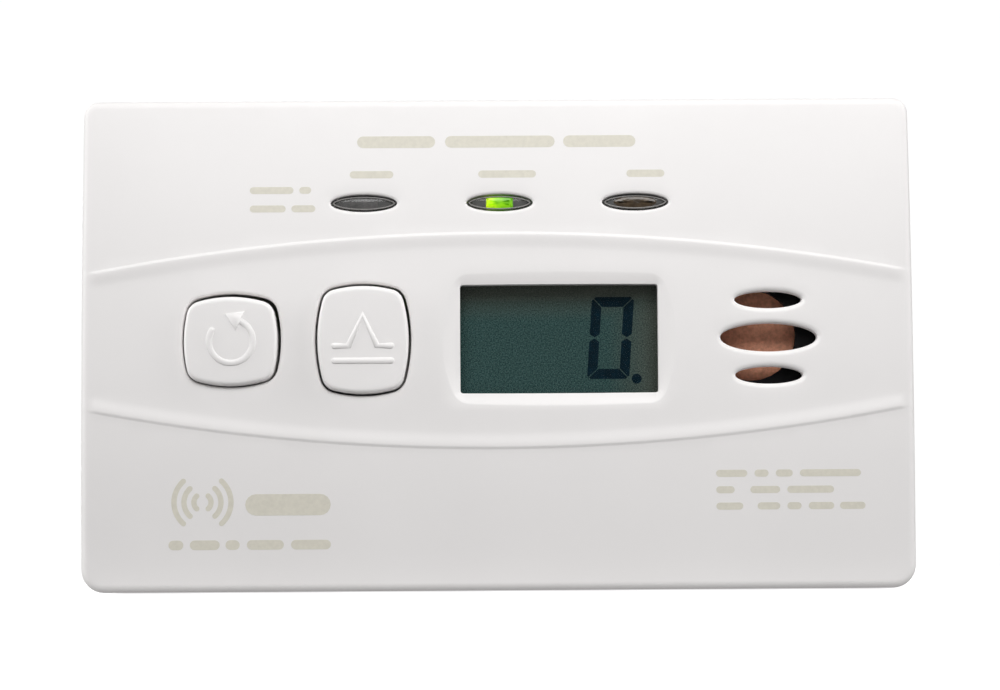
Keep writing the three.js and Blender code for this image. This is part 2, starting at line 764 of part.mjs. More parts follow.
function housingOuter() {
  const half = WIDTH / 2 - HOUSING_STEP;
  const shape = roundedRectangle(
    -half + EDGE_FILLET,
    half - EDGE_FILLET,
    EDGE_FILLET,
    HEIGHT - HOUSING_STEP - EDGE_FILLET,
    CORNER_BOTTOM - EDGE_FILLET,
    CORNER_TOP - EDGE_FILLET,
  );
  const depth = 2 * DEPTH;
  const geometry = new THREE.ExtrudeGeometry(shape, {
    depth,
    bevelThickness: EDGE_FILLET,
    bevelSize: EDGE_FILLET,
    bevelSegments: 2,
    curveSegments: 3,
  });
  const block = solid(geometry.rotateX(Math.PI / 2).translate(0, REAR_Y - EDGE_FILLET, 0));
  const big = 2 * WIDTH;
  return block.subtract(box(-big, big, -2 * big, HOUSING_FRONT, -big, big));
}

function housingShell() {
  const inner = WIDTH / 2 - HOUSING_STEP - HOUSING_WALL;
  const top = HEIGHT - HOUSING_STEP - HOUSING_WALL;
  const bottom = SIDE_WALL + 1;
  const lip = 0.8;
  const hollow = roundedPlate(-inner, inner, bottom, top, 1.4, HOUSING_FRONT - 3, HOUSING_INNER_Y);
  const tongue = roundedPlate(
    -inner - lip,
    inner + lip,
    bottom - lip,
    top + lip,
    1.4 + lip,
    HOUSING_FRONT - 1.8,
    HOUSING_FRONT + 0.5,
  );
  return unite(housingOuter(), tongue).subtract(hollow);
}

function keyholeShape(x, grow = 0) {
  const { z, head, slot, rise } = KEYHOLE;
  const meet = Math.sqrt((head + grow) ** 2 - (slot + grow) ** 2);
  const turn = Math.atan2(meet, slot + grow);
  const shape = new THREE.Shape();
  shape.absarc(x, z, head + grow, turn - 2 * Math.PI, Math.PI - turn - 2 * Math.PI, true);
  shape.lineTo(x - slot - grow, z + rise);
  shape.absarc(x, z + rise, slot + grow, Math.PI, 0, true);
  shape.closePath();
  return shape;
}

function withKeyholes(shell) {
  const { z, head, rise, floorY, slot } = KEYHOLE;
  let body = shell;
  for (const x of KEYHOLE_XS) {
    const reach = head + 0.6;
    const wall = reach + 1.2;
    const top = z + rise + slot + 0.6;
    const pocket = box(x - wall, x + wall, floorY - 1.2, REAR_Y - 1, z - wall, top + 1.2);
    const room = box(x - reach, x + reach, floorY, HOUSING_INNER_Y, z - reach, top);
    body = body.add(pocket).subtract(room);
    body = body.subtract(plate(keyholeShape(x), floorY + 1, REAR_Y + 1, 8));
  }
  return body;
}

// Ribs that carry both cells, open towards the board.
function withCradle(shell) {
  const [low, high] = CELL_ZS;
  let body = shell;
  for (const x of [CELL.x - 11, CELL.x + 11]) {
    const rib = box(x - 0.8, x + 0.8, CELL.y + 1.5, REAR_Y - 1, low - 10.4, high + 9.6);
    body = body.add(rib);
  }
  for (const z of CELL_ZS) {
    const trough = new THREE.CylinderGeometry(CELL.radius + FIT, CELL.radius + FIT, 40, 20);
    body = body.subtract(solid(trough.rotateZ(Math.PI / 2).translate(CELL.x, CELL.y, z)));
  }
  return body;
}

const SCREW_SEAT = 12;

function withScrewBosses(shell) {
  let body = shell;
  for (const [x, z] of caseScrewPlaces) {
    body = body.add(rod(4.4, x, z, PARTING_Y - 0.2, REAR_Y - 1));
    body = body.subtract(rod(3.2, x, z, SCREW_SEAT, REAR_Y + 1));
    body = body.subtract(rod(1.65, x, z, PARTING_Y - 2, SCREW_SEAT + 1, 16));
  }
  return body;
}

const POCKET = { halfX: 7, halfZ: 5, floorY: 18.4, padY: 16.8 };

function withSliderSlot(shell) {
  const { x, z, travel } = SLIDER;
  const middle = x + travel / 2;
  const { halfX, halfZ, floorY, padY } = POCKET;
  const [x0, x1, z0, z1] = [middle - halfX, middle + halfX, z - halfZ, z + halfZ];
  const pad = box(x0 - 3, x1 + 3, padY, REAR_Y - 1, z0 - 1.5, z1 + 1.5);
  const pocket = roundedPlate(x0, x1, z0, z1, 1.2, floorY, REAR_Y + 1);
  const slotHalf = 2.6 + travel / 2;
  const slot = box(middle - slotHalf, middle + slotHalf, padY - 1, floorY + 1, z - 1.7, z + 1.7);
  return shell.add(pad).subtract(pocket).subtract(slot);
}

const LABEL = { x: -8, z: 32, halfX: 24, halfZ: 12, depth: 0.35 };

function makeRearHousing() {
  let body = withScrewBosses(withSliderSlot(withCradle(withKeyholes(housingShell()))));
  const [slitZ, slitHalf] = [30, 7]; // the back's own air slits, behind the gas sensor
  for (const slitX of spread(36, 51, 5)) {
    const slit = roundedPlate(slitX - 0.8, slitX + 0.8, slitZ - slitHalf, slitZ + slitHalf, 0.7, 16, 22);
    body = body.subtract(slit);
  }
  const { x, z, halfX, halfZ, depth } = LABEL;
  const recess = roundedPlate(x - halfX, x + halfX, z - halfZ, z + halfZ, 1.5, REAR_Y - depth, REAR_Y + 1);
  add("rear_housing", body.subtract(recess), ABS);
  const inset = 0.3;
  const label = roundedPlate(
    x - halfX + inset,
    x + halfX - inset,
    z - halfZ + inset,
    z + halfZ - inset,
    1.2,
    REAR_Y - depth + 0.03,
    REAR_Y - depth + 0.2,
  );
  add("rating_label", label, { color: 0xd9dadb, roughness: 0.3 });
}

// ---------------------------------------------------------------- activation slider
function makeSlider() {
  const { x, z } = SLIDER;
  const { floorY, padY } = POCKET;
  const knobBack = REAR_Y - 0.25;
  let knob = roundedPlate(x - 3.4, x + 3.4, z - 4.2, z + 4.2, 0.8, floorY + FIT, knobBack);
  for (const step of [-2, -0.9, 0.2, 1.3, 2.4]) {
    const groove = box(x + step - 0.3, x + step + 0.3, knobBack - 0.5, REAR_Y + 1, z - 3.4, z + 3.4);
    knob = knob.subtract(groove);
  }
  const neck = box(x - 2.3, x + 2.3, padY - 1, floorY + 0.5, z - 1.45, z + 1.45);
  const shoe = box(x - 5.6, x + 5.6, padY - FIT - 1.2, padY - FIT, z - 4, z + 4);
  const arm = box(x - 2.9, x + 2.9, 5.5, padY - FIT - 1, z - 1.2, z + 1.2);
  const prong = (side) =>
    box(x + side * 2.3 - 0.6, x + side * 2.3 + 0.6, 2.6, 6, z - 1.2, z + 1.2);
  const look = { color: 0xb8322a, roughness: 0.45 };
  add("activation_slider", unite(knob, neck, shoe, arm, prong(-1), prong(1)), look);
  const face = BOARD_BACK + 0.05;
  const bodyHalf = 3.1 + SLIDER.travel;
  const middle = x + SLIDER.travel / 2;
  const slideHalf = 1.7 + SLIDER.travel / 2;
  const body = box(middle - bodyHalf, middle + bodyHalf, face, 1.6, z - 2.8, z + 2.8)
    .subtract(box(middle - slideHalf, middle + slideHalf, -0.8, 3, z - 1.3, z + 1.3));
  add("power_switch_body", body, { color: 0xa9abad, roughness: 0.35, metalness: 0.9 });
  add("power_switch_lever", box(x - 1.5, x + 1.5, -0.6, 4.9, z - 1.1, z + 1.1), BLACK);
}

// ---------------------------------------------------------------- screws
// A pan-head screw driven from the back, with a cross recess in its head.
function makeScrew(name, x, z, seat, headRadius, shankRadius, tip) {
  const headHeight = headRadius * 0.75;
  const head = turned(
    [
      [0, seat],
      [headRadius, seat],
      [headRadius, seat + headHeight * 0.5],
      [headRadius * 0.7, seat + headHeight],
      [0, seat + headHeight],
    ],
    x,
    z,
    20,
  );
  const shank = turned(
    [
      [0, tip],
      [shankRadius, tip + 1.5],
      [shankRadius, seat + 0.2],
      [0, seat + 0.2],
    ],
    x,
    z,
    12,
  );
  const reach = headRadius * 0.6;
  const arm = headRadius * 0.16;
  const top = seat + headHeight;
  const cross = unite(
    box(x - reach, x + reach, top - 1, top + 1, z - arm, z + arm),
    box(x - arm, x + arm, top - 1, top + 1, z - reach, z + reach),
  );
  add(name, unite(head, shank).subtract(cross), NICKEL);
}

function makeScrews() {
  caseScrewPlaces.forEach(([x, z], i) =>
    makeScrew(`case_screw_${i + 1}`, x, z, SCREW_SEAT + 0.05, 2.7, 1.35, -5),
  );
  boardScrewPlaces.forEach(([x, z], i) =>
    makeScrew(`board_screw_${i + 1}`, x, z, BOARD_BACK + 0.05, 2.2, 1, -10),
  );
}

// ---------------------------------------------------------------- the whole alarm
makeFrontCover();
for (const button of BUTTONS) {
  makeButton(button);
  makeSwitch(button);
}
makeDisplay();
LED_NAMES.forEach((name, i) => makeIndicator(name, LED_COLOURS[i], LED_X + (i - 1) * LED_PITCH));
makeHorn();
makeSensor();
makeBoard();
makeElectronics();
makeBattery();
makeRearHousing();
makeSlider();
makeScrews();

export default part;
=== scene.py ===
"""A carbon monoxide alarm in white plastic: the fine surfaces and finishes over its CAD frame."""
import json
import math
from itertools import pairwise

import bmesh
import bpy
from mathutils import Euler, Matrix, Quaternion, Vector
from mathutils.geometry import delaunay_2d_cdt


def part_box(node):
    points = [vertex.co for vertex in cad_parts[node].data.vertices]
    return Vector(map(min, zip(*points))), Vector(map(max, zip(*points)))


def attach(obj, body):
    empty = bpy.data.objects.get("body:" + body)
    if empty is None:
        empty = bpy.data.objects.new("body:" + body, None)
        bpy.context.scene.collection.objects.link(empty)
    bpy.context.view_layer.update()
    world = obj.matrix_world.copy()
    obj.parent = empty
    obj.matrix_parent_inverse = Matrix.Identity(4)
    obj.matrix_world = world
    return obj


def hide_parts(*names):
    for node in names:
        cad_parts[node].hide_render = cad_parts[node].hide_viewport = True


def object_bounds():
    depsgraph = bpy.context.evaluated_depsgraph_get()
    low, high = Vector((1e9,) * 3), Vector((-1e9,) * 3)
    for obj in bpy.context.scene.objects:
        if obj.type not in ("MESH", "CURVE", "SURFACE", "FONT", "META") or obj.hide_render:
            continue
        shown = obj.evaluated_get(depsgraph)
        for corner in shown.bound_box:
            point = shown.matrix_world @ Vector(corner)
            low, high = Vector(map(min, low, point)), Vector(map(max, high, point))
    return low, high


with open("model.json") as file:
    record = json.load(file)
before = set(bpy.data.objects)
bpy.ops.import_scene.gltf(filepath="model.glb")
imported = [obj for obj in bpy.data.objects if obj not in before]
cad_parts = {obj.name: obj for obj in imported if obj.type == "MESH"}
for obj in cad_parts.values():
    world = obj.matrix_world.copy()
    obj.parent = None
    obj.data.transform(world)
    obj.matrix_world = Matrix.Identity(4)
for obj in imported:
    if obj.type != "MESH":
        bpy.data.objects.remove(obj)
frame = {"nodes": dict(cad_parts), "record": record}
cad_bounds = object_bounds()

MM = 0.001  # lengths below are in millimetres unless a name says otherwise


def box_mm(node):
    """A CAD node's low and high corners, in millimetres."""
    low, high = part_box(node)
    return low / MM, high / MM


def middle_mm(node):
    low, high = box_mm(node)
    return (low + high) / 2


# ------------------------------------------------------------------ sizes of the front
CASE_LOW, CASE_HIGH = (corner / MM for corner in cad_bounds)
COVER_BACK = box_mm("front_cover")[1].y
MID_Z = (CASE_LOW.z + CASE_HIGH.z) / 2
FRONT_Y = CASE_LOW.y  # the buttons' tops
BUTTON_PROUD = 0.95  # how far the buttons' tops stand out from the middle of the front
FACE_Y = FRONT_Y + BUTTON_PROUD
CROWN_RADIUS = 400  # the front bows forward from top to bottom
DISPLAY_MIDDLE = middle_mm("display_window")
FEATURE_Z = DISPLAY_MIDDLE.z  # the height of the display, buttons and vents
DRAFT = 0.2  # how much the case widens from its front to its seam
FILLET = 1.2  # between the front and the sides
CORNER_TOP = 2.2
CORNER_BOTTOM = 3.2
WALL = 2.2
BORDER_HALF = (CASE_HIGH.x - CASE_LOW.x) / 2 - DRAFT - FILLET  # the front inside its fillet
BORDER_LOW = CASE_LOW.z + FILLET
BORDER_HIGH = CASE_HIGH.z - DRAFT - FILLET

RIDGE_ARC = 305  # radius of both ridges
RIDGE_HALF = 15.0  # from RIDGE_Z to each crest, at its highest
RIDGE_Z = FEATURE_Z - 0.2
RIDGE_OUTER = 0.5  # width of a ridge's steep flank, outside its crest
RIDGE_INNER = 2.1  # width of its gentle flank, towards the band
RIDGE_HEIGHT = 0.14
RIDGE_END = 0.8  # how far inside the case's side a ridge dies out
RIDGE_FADE = 1.4  # the length over which it dies out
BAND_STEP = 0.08  # how far the band between the ridges lies behind the rest of the front

# Outlines for pillow(), with their middles at FEATURE_Z: a and b are half the width and height.
BUTTON_OPENINGS = {
    "test": dict(x=-37.5, a=6.93, b=6.65, side=18.5, cap=17.0, corner=2.5),
    "peak": dict(x=-18.98, a=6.78, b=7.98, side=22.0, cap=17.0, corner=2.5),
}
BUTTON_OFFSETS = {"test": (-0.1, -0.22), "peak": (0.0, -0.1)}  # of a cap in its opening
BUTTON_GAP = 0.36
BUTTON_CROWN = 0.06
BUTTON_ROLL = 0.62  # radius of a cap's rolled edge
BUTTON_BACK = box_mm("test_button")[1].y
DISPLAY = dict(a=14.0, b=7.72, side=2000.0, cap=2000.0, corner=0.4)
DISPLAY_BEVEL = dict(a=16.7, b=9.55, side=19.0, cap=300.0, corner=2.8)
BEVEL_FOOT, BEVEL_TOP = 0.95, 0.304  # depth of the display's bevel along its foot and its top
LIGHTS = ["alarm", "operate", "fault"]
LIGHT_A, LIGHT_B = 4.7, 1.24
VENT_X = 38.3
VENT_PITCH = 5.35
VENTS = [(VENT_PITCH, 4.78, 1.24), (0.0, 6.86, 2.03), (-VENT_PITCH, 4.78, 1.24)]
BUTTON_LIP = (0.45, 0.45)  # width and depth of the round edge of an opening
LIGHT_LIP = (0.5, 0.35)
VENT_LIP = (0.75, 0.5)


# ------------------------------------------------------------------ outlines, in X and Z
def spread(start, stop, steps):
    return [start + (stop - start) * i / steps for i in range(steps + 1)]


def pillow(x, z, a, b, side, cap, corner, steps=8):
    """A function of an offset that gives a four-sided outline with bowed sides and round corners.

    Each side is an arc centred on its own axis, and each corner an arc tangent to two sides.
    """
    side_x = a - side
    cap_z = b - cap
    reach = math.hypot(side_x, cap_z)
    along = ((side - corner) ** 2 - (cap - corner) ** 2 + reach**2) / (2 * reach)
    off = math.sqrt((side - corner) ** 2 - along**2)
    turn_x, turn_z = -side_x / reach, cap_z / reach
    corner_x = side_x + along * turn_x - off * turn_z
    corner_z = along * turn_z + off * turn_x
    start = math.atan2(corner_z, corner_x - side_x)
    stop = math.atan2(corner_z - cap_z, corner_x)
    arcs = [
        (side_x, 0, side, 0, start),
        (corner_x, corner_z, corner, start, stop),
        (0, cap_z, cap, stop, math.pi / 2),
    ]

    def outline(offset=0.0):
        quarter = []
        for arc_x, arc_z, radius, first, last in arcs:
            for angle in spread(first, last, steps)[:-1]:
                px = arc_x + (radius + offset) * math.cos(angle)
                pz = arc_z + (radius + offset) * math.sin(angle)
                quarter.append((px, pz))
        back = quarter[:0:-1]
        top, bottom = (0, b + offset), (0, -b - offset)
        left = [top, *((-px, pz) for px, pz in back)]
        under = [(-px, -pz) for px, pz in quarter]
        right = [bottom, *((px, -pz) for px, pz in back)]
        return [(x + px, z + pz) for px, pz in [*quarter, *left, *under, *right]]

    return outline


def ellipse(x, z, a, b, sides=64):
    """A function of an offset that gives an ellipse grown by it along its normals."""

    def outline(offset=0.0):
        points = []
        for i in range(sides):
            angle = 2 * math.pi * i / sides
            nx, nz = b * math.cos(angle), a * math.sin(angle)
            length = math.hypot(nx, nz)
            px = a * math.cos(angle) + offset * nx / length
            pz = b * math.sin(angle) + offset * nz / length
            points.append((x + px, z + pz))
        return points

    return outline


def shrunk(points, scale):
    """An outline scaled about its own middle."""
    x = sum(p[0] for p in points) / len(points)
    z = sum(p[1] for p in points) / len(points)
    return [(x + (px - x) * scale, z + (pz - z) * scale) for px, pz in points]


def mixed(first, second, share):
    """An outline part of the way from one to another with as many points."""
    return [
        (ax + (bx - ax) * share, az + (bz - az) * share)
        for (ax, az), (bx, bz) in zip(first, second)
    ]


def inside(polygon, x, z):
    """Whether a point is inside a polygon, from how many edges a line from it crosses."""
    hit = False
    for (ax, az), (bx, bz) in zip(polygon, polygon[1:] + polygon[:1]):
        if (az > z) != (bz > z) and x < ax + (bx - ax) * (z - az) / (bz - az):
            hit = not hit
    return hit


def around(polygon):
    """The polygon's least and greatest x, and its least and greatest z."""
    xs = [p[0] for p in polygon]
    zs = [p[1] for p in polygon]
    return min(xs), max(xs), min(zs), max(zs)


def in_any(polygons, x, z):
    """Whether a point is in any of some (polygon, around(polygon)) pairs."""
    for polygon, (x0, x1, z0, z1) in polygons:
        if x0 <= x <= x1 and z0 <= z <= z1 and inside(polygon, x, z):
            return True
    return False


# ------------------------------------------------------------------ mesh building
class Skin:
    """Points and faces of one closed surface, in millimetres."""

    def __init__(self):
        self.points = []
        self.faces = []

    def add(self, points):
        start = len(self.points)
        self.points.extend(points)
        return list(range(start, len(self.points)))

    def ring(self, outline, y):
        return self.add([(x, y, z) for x, z in outline])

    def join(self, first, second):
        """A band of quads between two loops with as many points."""
        count = len(first)
        for i in range(count):
            j = (i + 1) % count
            self.faces.append((first[i], first[j], second[j], second[i]))

    def stack(self, loops):
        for first, second in pairwise(loops):
            self.join(first, second)

    def cap(self, loop):
        """Closes a loop with a fan to its middle."""
        count = len(loop)
        total = [sum(self.points[i][k] for i in loop) / count for k in range(3)]
        hub = self.add([tuple(total)])[0]
        for i in range(count):
            self.faces.append((loop[i], loop[(i + 1) % count], hub))

    def fill(self, border, holes, spare, height):
        """Triangles between a convex border and hole loops, through spare (x, z) points."""
        flat = []
        names = []
        edges = []
        for loop in [border, *holes]:
            start = len(flat)
            flat.extend(Vector((self.points[i][0], self.points[i][2])) for i in loop)
            names.extend(loop)
            edges.extend((start + i, start + (i + 1) % len(loop)) for i in range(len(loop)))
        names.extend(self.add([(x, height(x, z), z) for x, z in spare]))
        flat.extend(Vector(p) for p in spare)
        all_triangles, closest = 0, 1e-6
        made = delaunay_2d_cdt(flat, edges, [], all_triangles, closest, True)
        faces, sources = made[2:4]
        outlines = [[(self.points[i][0], self.points[i][2]) for i in loop] for loop in holes]
        openings = [(outline, around(outline)) for outline in outlines]
        for face in faces:
            corners = [names[sources[i][0]] for i in face]
            x = sum(self.points[i][0] for i in corners) / 3
            z = sum(self.points[i][2] for i in corners) / 3
            if not in_any(openings, x, z):
                self.faces.append(tuple(corners))

    def build(self, name, material, sharp_degrees=40):
        mesh = bpy.data.meshes.new(name)
        mesh.from_pydata([tuple(c * MM for c in p) for p in self.points], [], self.faces)
        work = bmesh.new()
        work.from_mesh(mesh)
        bmesh.ops.remove_doubles(work, verts=work.verts, dist=1e-7)
        bmesh.ops.recalc_face_normals(work, faces=work.faces)
        work.to_mesh(mesh)
        work.free()
        mesh.shade_smooth()
        mesh.set_sharp_from_angle(angle=math.radians(sharp_degrees))
        mesh.materials.append(material)
        piece = bpy.data.objects.new(name, mesh)
        bpy.context.scene.collection.objects.link(piece)
        return piece


def fit(piece, body, slot, *nodes):
    """Puts a piece on the body it rides on, and hides the CAD nodes it stands for; slot is not used.
    """
    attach(piece, body)
    if nodes:
        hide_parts(*nodes)
    return piece


# ------------------------------------------------------------------ materials
NOISE_LOW, NOISE_HIGH = 0.3, 0.7  # most of a noise's values lie between these


class Paint:
    """A Principled material and short ways to drive it with procedural textures."""

    def __init__(self, name, roughness=0.4, metallic=0.0, alpha=1.0, specular=0.5):
        self.material = bpy.data.materials.new(name)
        self.material.use_nodes = True
        self.tree = self.material.node_tree
        self.shader = self.tree.nodes["Principled BSDF"]
        self.shader.inputs["Roughness"].default_value = roughness
        self.shader.inputs["Metallic"].default_value = metallic
        self.shader.inputs["Alpha"].default_value = alpha
        self.shader.inputs["Specular IOR Level"].default_value = specular
        self.place = self.tree.nodes.new("ShaderNodeTexCoord").outputs["Object"]

    def node(self, kind, **settings):
        made = self.tree.nodes.new(kind)
        for key, value in settings.items():
            setattr(made, key, value)
        return made

    def link(self, source, target):
        self.tree.links.new(source, target)

    def noise(self, size, detail=2.0, stretch=(1, 1, 1)):
        """Noise whose features are about size millimetres across."""
        mapping = self.node("ShaderNodeMapping")
        mapping.inputs["Scale"].default_value = [s / (size * MM) for s in stretch]
        self.link(self.place, mapping.inputs["Vector"])
        texture = self.node("ShaderNodeTexNoise")
        texture.inputs["Scale"].default_value = 1.0
        texture.inputs["Detail"].default_value = detail
        self.link(mapping.outputs["Vector"], texture.inputs["Vector"])
        return texture.outputs["Fac"]

    def ramp(self, source, stops):
        """A colour ramp through (position, (r, g, b)) stops."""
        made = self.node("ShaderNodeValToRGB")
        elements = made.color_ramp.elements
        while len(elements) < len(stops):
            elements.new(0.5)
        for element, (position, colour) in zip(elements, stops):
            element.position = position
            element.color = (*colour, 1.0)
        self.link(source, made.inputs["Fac"])
        return made.outputs["Color"]

    def blend(self, factor, first, second):
        """One colour turning into another as the factor rises from 0 to 1."""
        made = self.node("ShaderNodeMix", data_type="RGBA")
        self.link(factor, made.inputs["Factor"])
        self.link(first, made.inputs["A"])
        self.link(second, made.inputs["B"])
        return made.outputs["Result"]

    def remap(self, source, low, high, from_low=NOISE_LOW, from_high=NOISE_HIGH):
        """From low to high as the source rises from from_low to from_high."""
        made = self.node("ShaderNodeMapRange")
        made.inputs["From Min"].default_value = from_low
        made.inputs["From Max"].default_value = from_high
        made.inputs["To Min"].default_value = low
        made.inputs["To Max"].default_value = high
        self.link(source, made.inputs["Value"])
        return made.outputs["Result"]

    def colour(self, source):
        self.link(source, self.shader.inputs["Base Color"])

    def mottle(self, colour, share, size, detail=2.0, stretch=(1, 1, 1)):
        """Colour that wanders by a share of itself either way."""
        dark = tuple(c * (1 - share) for c in colour)
        light = tuple(min(c * (1 + share), 1.0) for c in colour)
        grain = self.noise(size, detail, stretch)
        self.colour(self.ramp(grain, [(NOISE_LOW, dark), (NOISE_HIGH, light)]))

    def rough(self, low, high, size, detail=2.0, stretch=(1, 1, 1)):
        """Roughness that wanders between low and high."""
        grain = self.noise(size, detail, stretch)
        self.link(self.remap(grain, low, high), self.shader.inputs["Roughness"])

    def bump(self, source, depth):
        """Relief of depth millimetres from a 0 to 1 source."""
        made = self.node("ShaderNodeBump")
        made.inputs["Strength"].default_value = 1.0
        made.inputs["Distance"].default_value = depth * MM
        self.link(source, made.inputs["Height"])
        self.link(made.outputs["Normal"], self.shader.inputs["Normal"])


def case_plastic():
    """Satin moulded ABS, with a fine spark-eroded grain and a faint flow in its colour."""
    paint = Paint("case_white", specular=0.4)
    paint.mottle((0.872, 0.852, 0.845), 0.012, 22)
    paint.rough(0.4, 0.52, 1.5)
    paint.bump(paint.noise(0.22, 3.0), 0.004)
    return paint.material


def button_plastic():
    """The same plastic off a polished tool, so it is a little smoother."""
    paint = Paint("button_white", specular=0.45)
    paint.mottle((0.876, 0.857, 0.85), 0.01, 12)
    paint.rough(0.3, 0.4, 2.0)
    paint.bump(paint.noise(0.35, 2.0), 0.003)
    return paint.material


def plain_plastic(name, colour, low, high, grain=0.3, depth=0.004, specular=0.5):
    paint = Paint(name, specular=specular)
    paint.mottle(colour, 0.12, 2.5)
    paint.rough(low, high, 1.2)
    paint.bump(paint.noise(grain, 3.0), depth)
    return paint.material


def metal(name, colour, low, high, stretch=(1, 1, 1)):
    paint = Paint(name, metallic=1.0)
    paint.mottle(colour, 0.08, 0.8, 3.0, stretch)
    paint.rough(low, high, 0.5, 3.0, stretch)
    paint.bump(paint.noise(0.15, 2.0, stretch), 0.002)
    return paint.material


def clear_sheet():
    """The clear acrylic over the display, with a very slight haze."""
    paint = Paint("clear_acrylic", alpha=0.03, specular=0.4)
    paint.mottle((0.06, 0.07, 0.07), 0.05, 6)
    paint.rough(0.05, 0.1, 3)
    return paint.material


def smoked_lens():
    """Smoke-tinted clear plastic."""
    paint = Paint("smoked_lens", alpha=0.5, specular=0.6)
    paint.mottle((0.17, 0.168, 0.165), 0.15, 1.5)
    paint.rough(0.06, 0.14, 1.0)
    paint.bump(paint.noise(0.8, 2.0), 0.006)
    return paint.material


def lit_green():
    """The lit light guide: yellow-green on the left, cooling to a deeper green on the right."""
    paint = Paint("green_led", roughness=0.3)
    split = paint.node("ShaderNodeSeparateXYZ")
    paint.link(paint.place, split.inputs["Vector"])
    middle, half = middle_mm("operate_lens").x, 2
    across = paint.remap(split.outputs["X"], 0.0, 0.8, (middle - half) * MM, (middle + half) * MM)
    uneven = paint.node("ShaderNodeMath", operation="ADD")
    paint.link(across, uneven.inputs[0])
    paint.link(paint.remap(paint.noise(1.0, 3.0), -0.15, 0.3), uneven.inputs[1])
    stops = [(0.0, (0.6, 0.85, 0.0)), (0.4, (0.24, 0.58, 0.0)), (0.9, (0.07, 0.3, 0.0))]
    colour = paint.ramp(uneven.outputs["Value"], stops)
    paint.colour(colour)
    paint.link(colour, paint.shader.inputs["Emission Color"])
    paint.shader.inputs["Emission Strength"].default_value = 0.38
    return paint.material


def unlit_guide(name, colour):
    """A light guide whose diode is off: dark, glossy and uneven."""
    paint = Paint(name, specular=0.6)
    paint.mottle(colour, 0.45, 0.9, 3.0)
    paint.rough(0.1, 0.25, 0.8)
    paint.bump(paint.noise(0.5), 0.05)
    return paint.material


def display_glass():
    """The unlit liquid crystal: a speckled grey-green that browns towards its top and right.

    Its top edge, which the case shades, is painted paler: painted light that lifts the case's shade
    there.
    """
    paint = Paint("display_glass", specular=0.01)
    speckle = paint.noise(0.2, 3.0)
    low, high = 0.35, 0.65
    green = paint.ramp(speckle, [(low, (0.012, 0.036, 0.036)), (high, (0.06, 0.118, 0.11))])
    brown = paint.ramp(speckle, [(low, (0.048, 0.06, 0.049)), (high, (0.105, 0.12, 0.1))])
    # painted light: a paler colour painted along the top edge to lift the shade the case casts on it
    pale = paint.ramp(speckle, [(low, (0.09, 0.105, 0.09)), (high, (0.17, 0.19, 0.16))])
    split = paint.node("ShaderNodeSeparateXYZ")
    paint.link(paint.place, split.inputs["Vector"])
    right = DISPLAY_MIDDLE.x + DISPLAY["a"]
    top = FEATURE_Z + DISPLAY["b"]
    to_right = paint.remap(split.outputs["X"], 0.0, 1.0, (right - 7) * MM, right * MM)
    to_top = paint.remap(split.outputs["Z"], 0.0, 1.0, (top - 5) * MM, top * MM)
    # the band along the top edge that gets the painted lift against the case's shade
    painted_lift_mask = paint.remap(split.outputs["Z"], 0.0, 1.0, (top - 2.2) * MM, (top - 0.8) * MM)
    most = paint.node("ShaderNodeMath", operation="MAXIMUM")
    paint.link(to_right, most.inputs[0])
    paint.link(to_top, most.inputs[1])
    paint.colour(paint.blend(painted_lift_mask, paint.blend(most.outputs["Value"], green, brown), pale))
    paint.rough(0.25, 0.4, 2.0)
    return paint.material


def display_segment():
    """The near-black blue of a dark segment."""
    paint = Paint("display_segment", specular=0.01)
    paint.mottle((0.002, 0.013, 0.022), 0.25, 0.5)
    paint.rough(0.3, 0.45, 1.0)
    return paint.material


def brown_disc():
    """The sounder's dull brown metal disc, lacquered and finely grained."""
    paint = Paint("diaphragm_brass", metallic=0.25, specular=0.3)
    paint.mottle((0.68, 0.325, 0.21), 0.2, 0.5, 4.0)
    paint.rough(0.5, 0.7, 0.7)
    paint.bump(paint.noise(0.3, 3.0), 0.01)
    return paint.material


def board_mask():
    """Green solder mask, with copper showing faintly lighter under it."""
    paint = Paint("circuit_board", specular=0.5)
    grain = paint.noise(3.0, 1.0, (1, 1, 3))
    stops = [(0.46, (0.008, 0.06, 0.02)), (0.5, (0.015, 0.1, 0.035)), (0.7, (0.02, 0.12, 0.04))]
    paint.colour(paint.ramp(grain, stops))
    paint.rough(0.3, 0.45, 2.0)
    paint.bump(grain, 0.03)
    return paint.material


def legend_ink(name, colour):
    """Matt printing ink."""
    paint = Paint(name, specular=0.3)
    paint.mottle(colour, 0.04, 0.6, 3.0)
    paint.rough(0.5, 0.65, 0.8)
    return paint.material


BLACK = (0.006, 0.006, 0.0065)
LOOKS = {
    "case_white": case_plastic(),
    "button_white": button_plastic(),
    "black_plastic": plain_plastic("black_plastic", BLACK, 0.45, 0.65, specular=0.06),
    "clear_acrylic": clear_sheet(),
    "display_glass": display_glass(),
    "contact_rubber": plain_plastic("contact_rubber", (0.03, 0.03, 0.033), 0.7, 0.85),
    "smoked_lens": smoked_lens(),
    "red_led": unlit_guide("red_led", (0.08, 0.07, 0.068)),
    "green_led": lit_green(),
    "amber_led": unlit_guide("amber_led", (0.06, 0.04, 0.022)),
    "diaphragm_brass": brown_disc(),
    "piezo_ceramic": plain_plastic("piezo_ceramic", (0.7, 0.66, 0.56), 0.5, 0.7),
    "sensor_body": plain_plastic("sensor_body", (0.74, 0.72, 0.66), 0.4, 0.55),
    "nickel_plate": metal("nickel_plate", (0.55, 0.54, 0.52), 0.22, 0.38),
    "circuit_board": board_mask(),
    "capacitor_sleeve": plain_plastic("capacitor_sleeve", (0.02, 0.025, 0.04), 0.25, 0.4),
    "cell_sleeve": plain_plastic("cell_sleeve", (0.03, 0.12, 0.4), 0.25, 0.4),
    "label_film": metal("label_film", (0.6, 0.61, 0.62), 0.35, 0.5, (0.05, 1, 1)),
    "slider_red": plain_plastic("slider_red", (0.42, 0.03, 0.022), 0.35, 0.5),
    "screw_steel": metal("screw_steel", (0.5, 0.5, 0.48), 0.28, 0.45),
}
